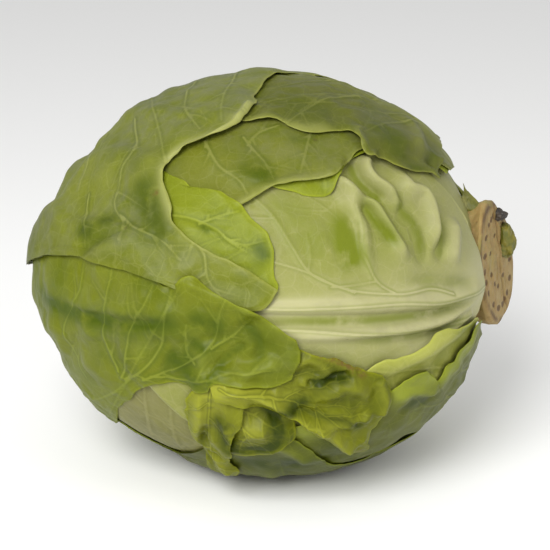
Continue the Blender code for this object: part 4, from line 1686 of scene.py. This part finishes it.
    def _blob(self, name: str, centre: Triple, radii: Triple, seed: int, lift: Array, first: Colour,
              second: Colour, lean: float = 0.0, point: float = 0.0) -> bpy.types.Object:
        """A lumpy egg: an ellipsoid roughened by noise, narrowed and leaned towards its top.

        Args:
            name: the object's name.
            centre: its middle from the head's centre, in millimetres.
            radii: half sizes along X, Y and Z, in millimetres.
            seed: noise seed.
            lift: from the head's centre to its place on the floor.
            first: one colour.
            second: the other colour of its mottle.
            lean: how far the top leans along X, as a share of its height.
            point: how much it narrows towards the top, 0 to 1.

        Returns:
            The object with its material.
        """
        tilt = np.linspace(0, math.pi, 61)[1:-1, None]
        turn = np.arange(96)[None, :] * 2 * math.pi / 96
        ball = np.stack([np.sin(tilt) * np.cos(turn), np.sin(tilt) * np.sin(turn),
                         np.cos(tilt) * np.ones(turn.shape)], -1)
        noise = Noise(seed)
        size = 1 + 0.22 * noise.rough(ball, 0.6, 3)

        def placed(shape: Array) -> Array:
            """Points of a ball of about unit size, shaped and put in place."""
            narrow = 1 - point * np.clip(shape[..., 2:3], 0, 1)
            shape = shape * np.concatenate([narrow, narrow, np.ones(narrow.shape)], -1) * np.array(radii)
            shape[..., 0] += lean * (shape[..., 2] + radii[2])
            return (shape + np.array(centre)) * MM + lift

        ends = placed(np.array([[0, 0, 1.0], [0, 0, -1.0]]) * size.mean())
        piece = ringed(name, placed(ball * size[..., None]), {}, ends[0], ends[1])
        g = Graph(name)
        colour = g.mix(g.ramp(g.noise(260, 4), 0.35, 0.65), first, second)
        rough = g.plus(g.times(g.noise(500), 0.2), 0.45)
        piece.data.materials.append(g.dressed(colour, rough, g.noise(600, 4), 0.5, 0.5 * MM))
        return piece


# ---------------------------------------------------------------- the whole head

@dataclass
class Cabbage:
    """The head: every leaf laid in order, settled on the floor and dressed."""

    form: Form
    sheets: list[Sheet] = field(default_factory=list)

    def lay_leaves(self) -> None:
        """Lays the leaves. The lower left leaf goes under the upper left one towards the tip and
        over it towards the stalk, so each of the two is laid on part of the other."""
        plans = leaf_plans()
        upper, lower = plans.pop("upper_left_leaf"), plans.pop("lower_left_leaf")
        pile = Pile(-SHOWN_DEPTH)
        for plan in plans.values():
            self._keep(lay_leaf(plan, self.form, pile), pile)
        below = lay_leaf(lower, self.form, pile)
        with_below = pile.copy()
        with_below.lay(below.n, np.where(tuck_weight(below.n) < 0.5, below.outer, -SHOWN_DEPTH))
        above = lay_leaf(upper, self.form, with_below)
        with_above = pile.copy()
        self._keep(above, with_above)
        self._keep(lay_leaf(lower, self.form, pile, over=with_above), with_above)

    def _keep(self, sheet: Sheet, pile: Pile) -> None:
        """Puts a laid leaf on the pile and in the list.

        Args:
            sheet: the laid leaf.
            pile: what it was laid on.
        """
        pile.lay(sheet.n, sheet.outer)
        self.sheets.append(sheet)
        rows, columns = np.array(sheet.n.shape[:2]) - 1
        log.info("laid %s, %d x %d steps", sheet.leaf.name, rows, columns)

    def build(self) -> Array:
        """Makes every piece.

        Returns:
            The head's centre where it rests on the floor.
        """
        self.lay_leaves()
        skins = [(self.form.point(s.n, s.outer), self.form.point(s.n, s.inner)) for s in self.sheets]
        lowest = min(outer[..., 2].min() for outer, _ in skins)
        lift = np.array([self.form.centre[0], self.form.centre[1], -lowest])
        done: set[str] = set()
        for sheet, (outer, inner) in zip(self.sheets, skins):
            leaf = sheet.leaf
            piece = shell_mesh(leaf.name + "_shown", outer + lift, inner + lift, sheet.paint)
            piece.data.materials.append(leaf_material(leaf.name, leaf.finish))
            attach(piece, "root")
            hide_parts(*({leaf.node} - done))
            done.add(leaf.node)
            log.info("built %s", piece.name)
        Heart(self.form).build(lift)
        Stalk(self.form).build(lift)
        return lift


@dataclass
class Studio:
    """Pale floor, soft light and the camera."""

    elevation: float = math.radians(18.0)
    distance: float = 0.750
    field_width: float = 0.2189
    aim_right: float = 5.2 * MM

    def build(self, centre: Array) -> None:
        """Sets up floor, lights and camera around the head's centre.

        Args:
            centre: the head's centre in metres.
        """
        self._floor()
        self._lights(Vector(centre))
        self._camera(Vector(centre))
        bpy.context.scene.view_settings.view_transform = "Standard"

    def _floor(self) -> None:
        """A wide plain floor."""
        half = 12.0
        corners = np.array([[-half, -half, 0], [half, -half, 0], [half, half, 0], [-half, half, 0]])
        floor = mesh_object("floor", corners, np.arange(4), np.array([4]))
        g = Graph("floor")
        g.shader.inputs["Base Color"].default_value = (0.93, 0.93, 0.92, 1)
        g.shader.inputs["Roughness"].default_value = 0.9
        floor.data.materials.append(g.material)

    def _lights(self, centre: Vector) -> None:
        """A bright even surround, a wide key light above the front and a weak one on the right.

        Args:
            centre: what the lamps point at.
        """
        world = bpy.data.worlds.new("studio")
        bpy.context.scene.world = world
        world.use_nodes = True
        back = world.node_tree.nodes["Background"]
        back.inputs["Color"].default_value = (1, 1, 1, 1)
        back.inputs["Strength"].default_value = 0.62
        for name, spot, size, power in (("key", (-0.32, -0.88, 0.68), 0.6, 15.0),
                                        ("side", (0.9, -0.6, 0.5), 0.6, 2.0)):
            lamp = bpy.data.lights.new(name, "AREA")
            lamp.energy, lamp.size = power, size
            light = bpy.data.objects.new(name, lamp)
            bpy.context.scene.collection.objects.link(light)
            light.location = centre + Vector(spot)
            light.rotation_euler = (centre - light.location).to_track_quat("-Z", "Y").to_euler()

    def _camera(self, centre: Vector) -> None:
        """Camera level with the head's middle, looking down at it by the elevation.

        Args:
            centre: the head's centre.
        """
        data = bpy.data.cameras.new("camera")
        data.sensor_width = 36.0
        data.lens = data.sensor_width * self.distance / self.field_width
        data.clip_end = 50
        camera = bpy.data.objects.new("camera", data)
        bpy.context.scene.collection.objects.link(camera)
        away = Vector((0, -math.cos(self.elevation), math.sin(self.elevation)))
        target = centre + Vector((self.aim_right, 0, 0))
        camera.location = target + away * self.distance
        camera.rotation_euler = (-away).to_track_quat("-Z", "Y").to_euler()
        bpy.context.scene.camera = camera


def main() -> None:
    """Loads the frame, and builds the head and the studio."""
    logging.basicConfig(level=logging.INFO, format="%(name)s: %(message)s")
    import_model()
    centre = Cabbage(Form.from_heart()).build()
    Studio().build(centre)


if __name__ == "__main__":
    main()
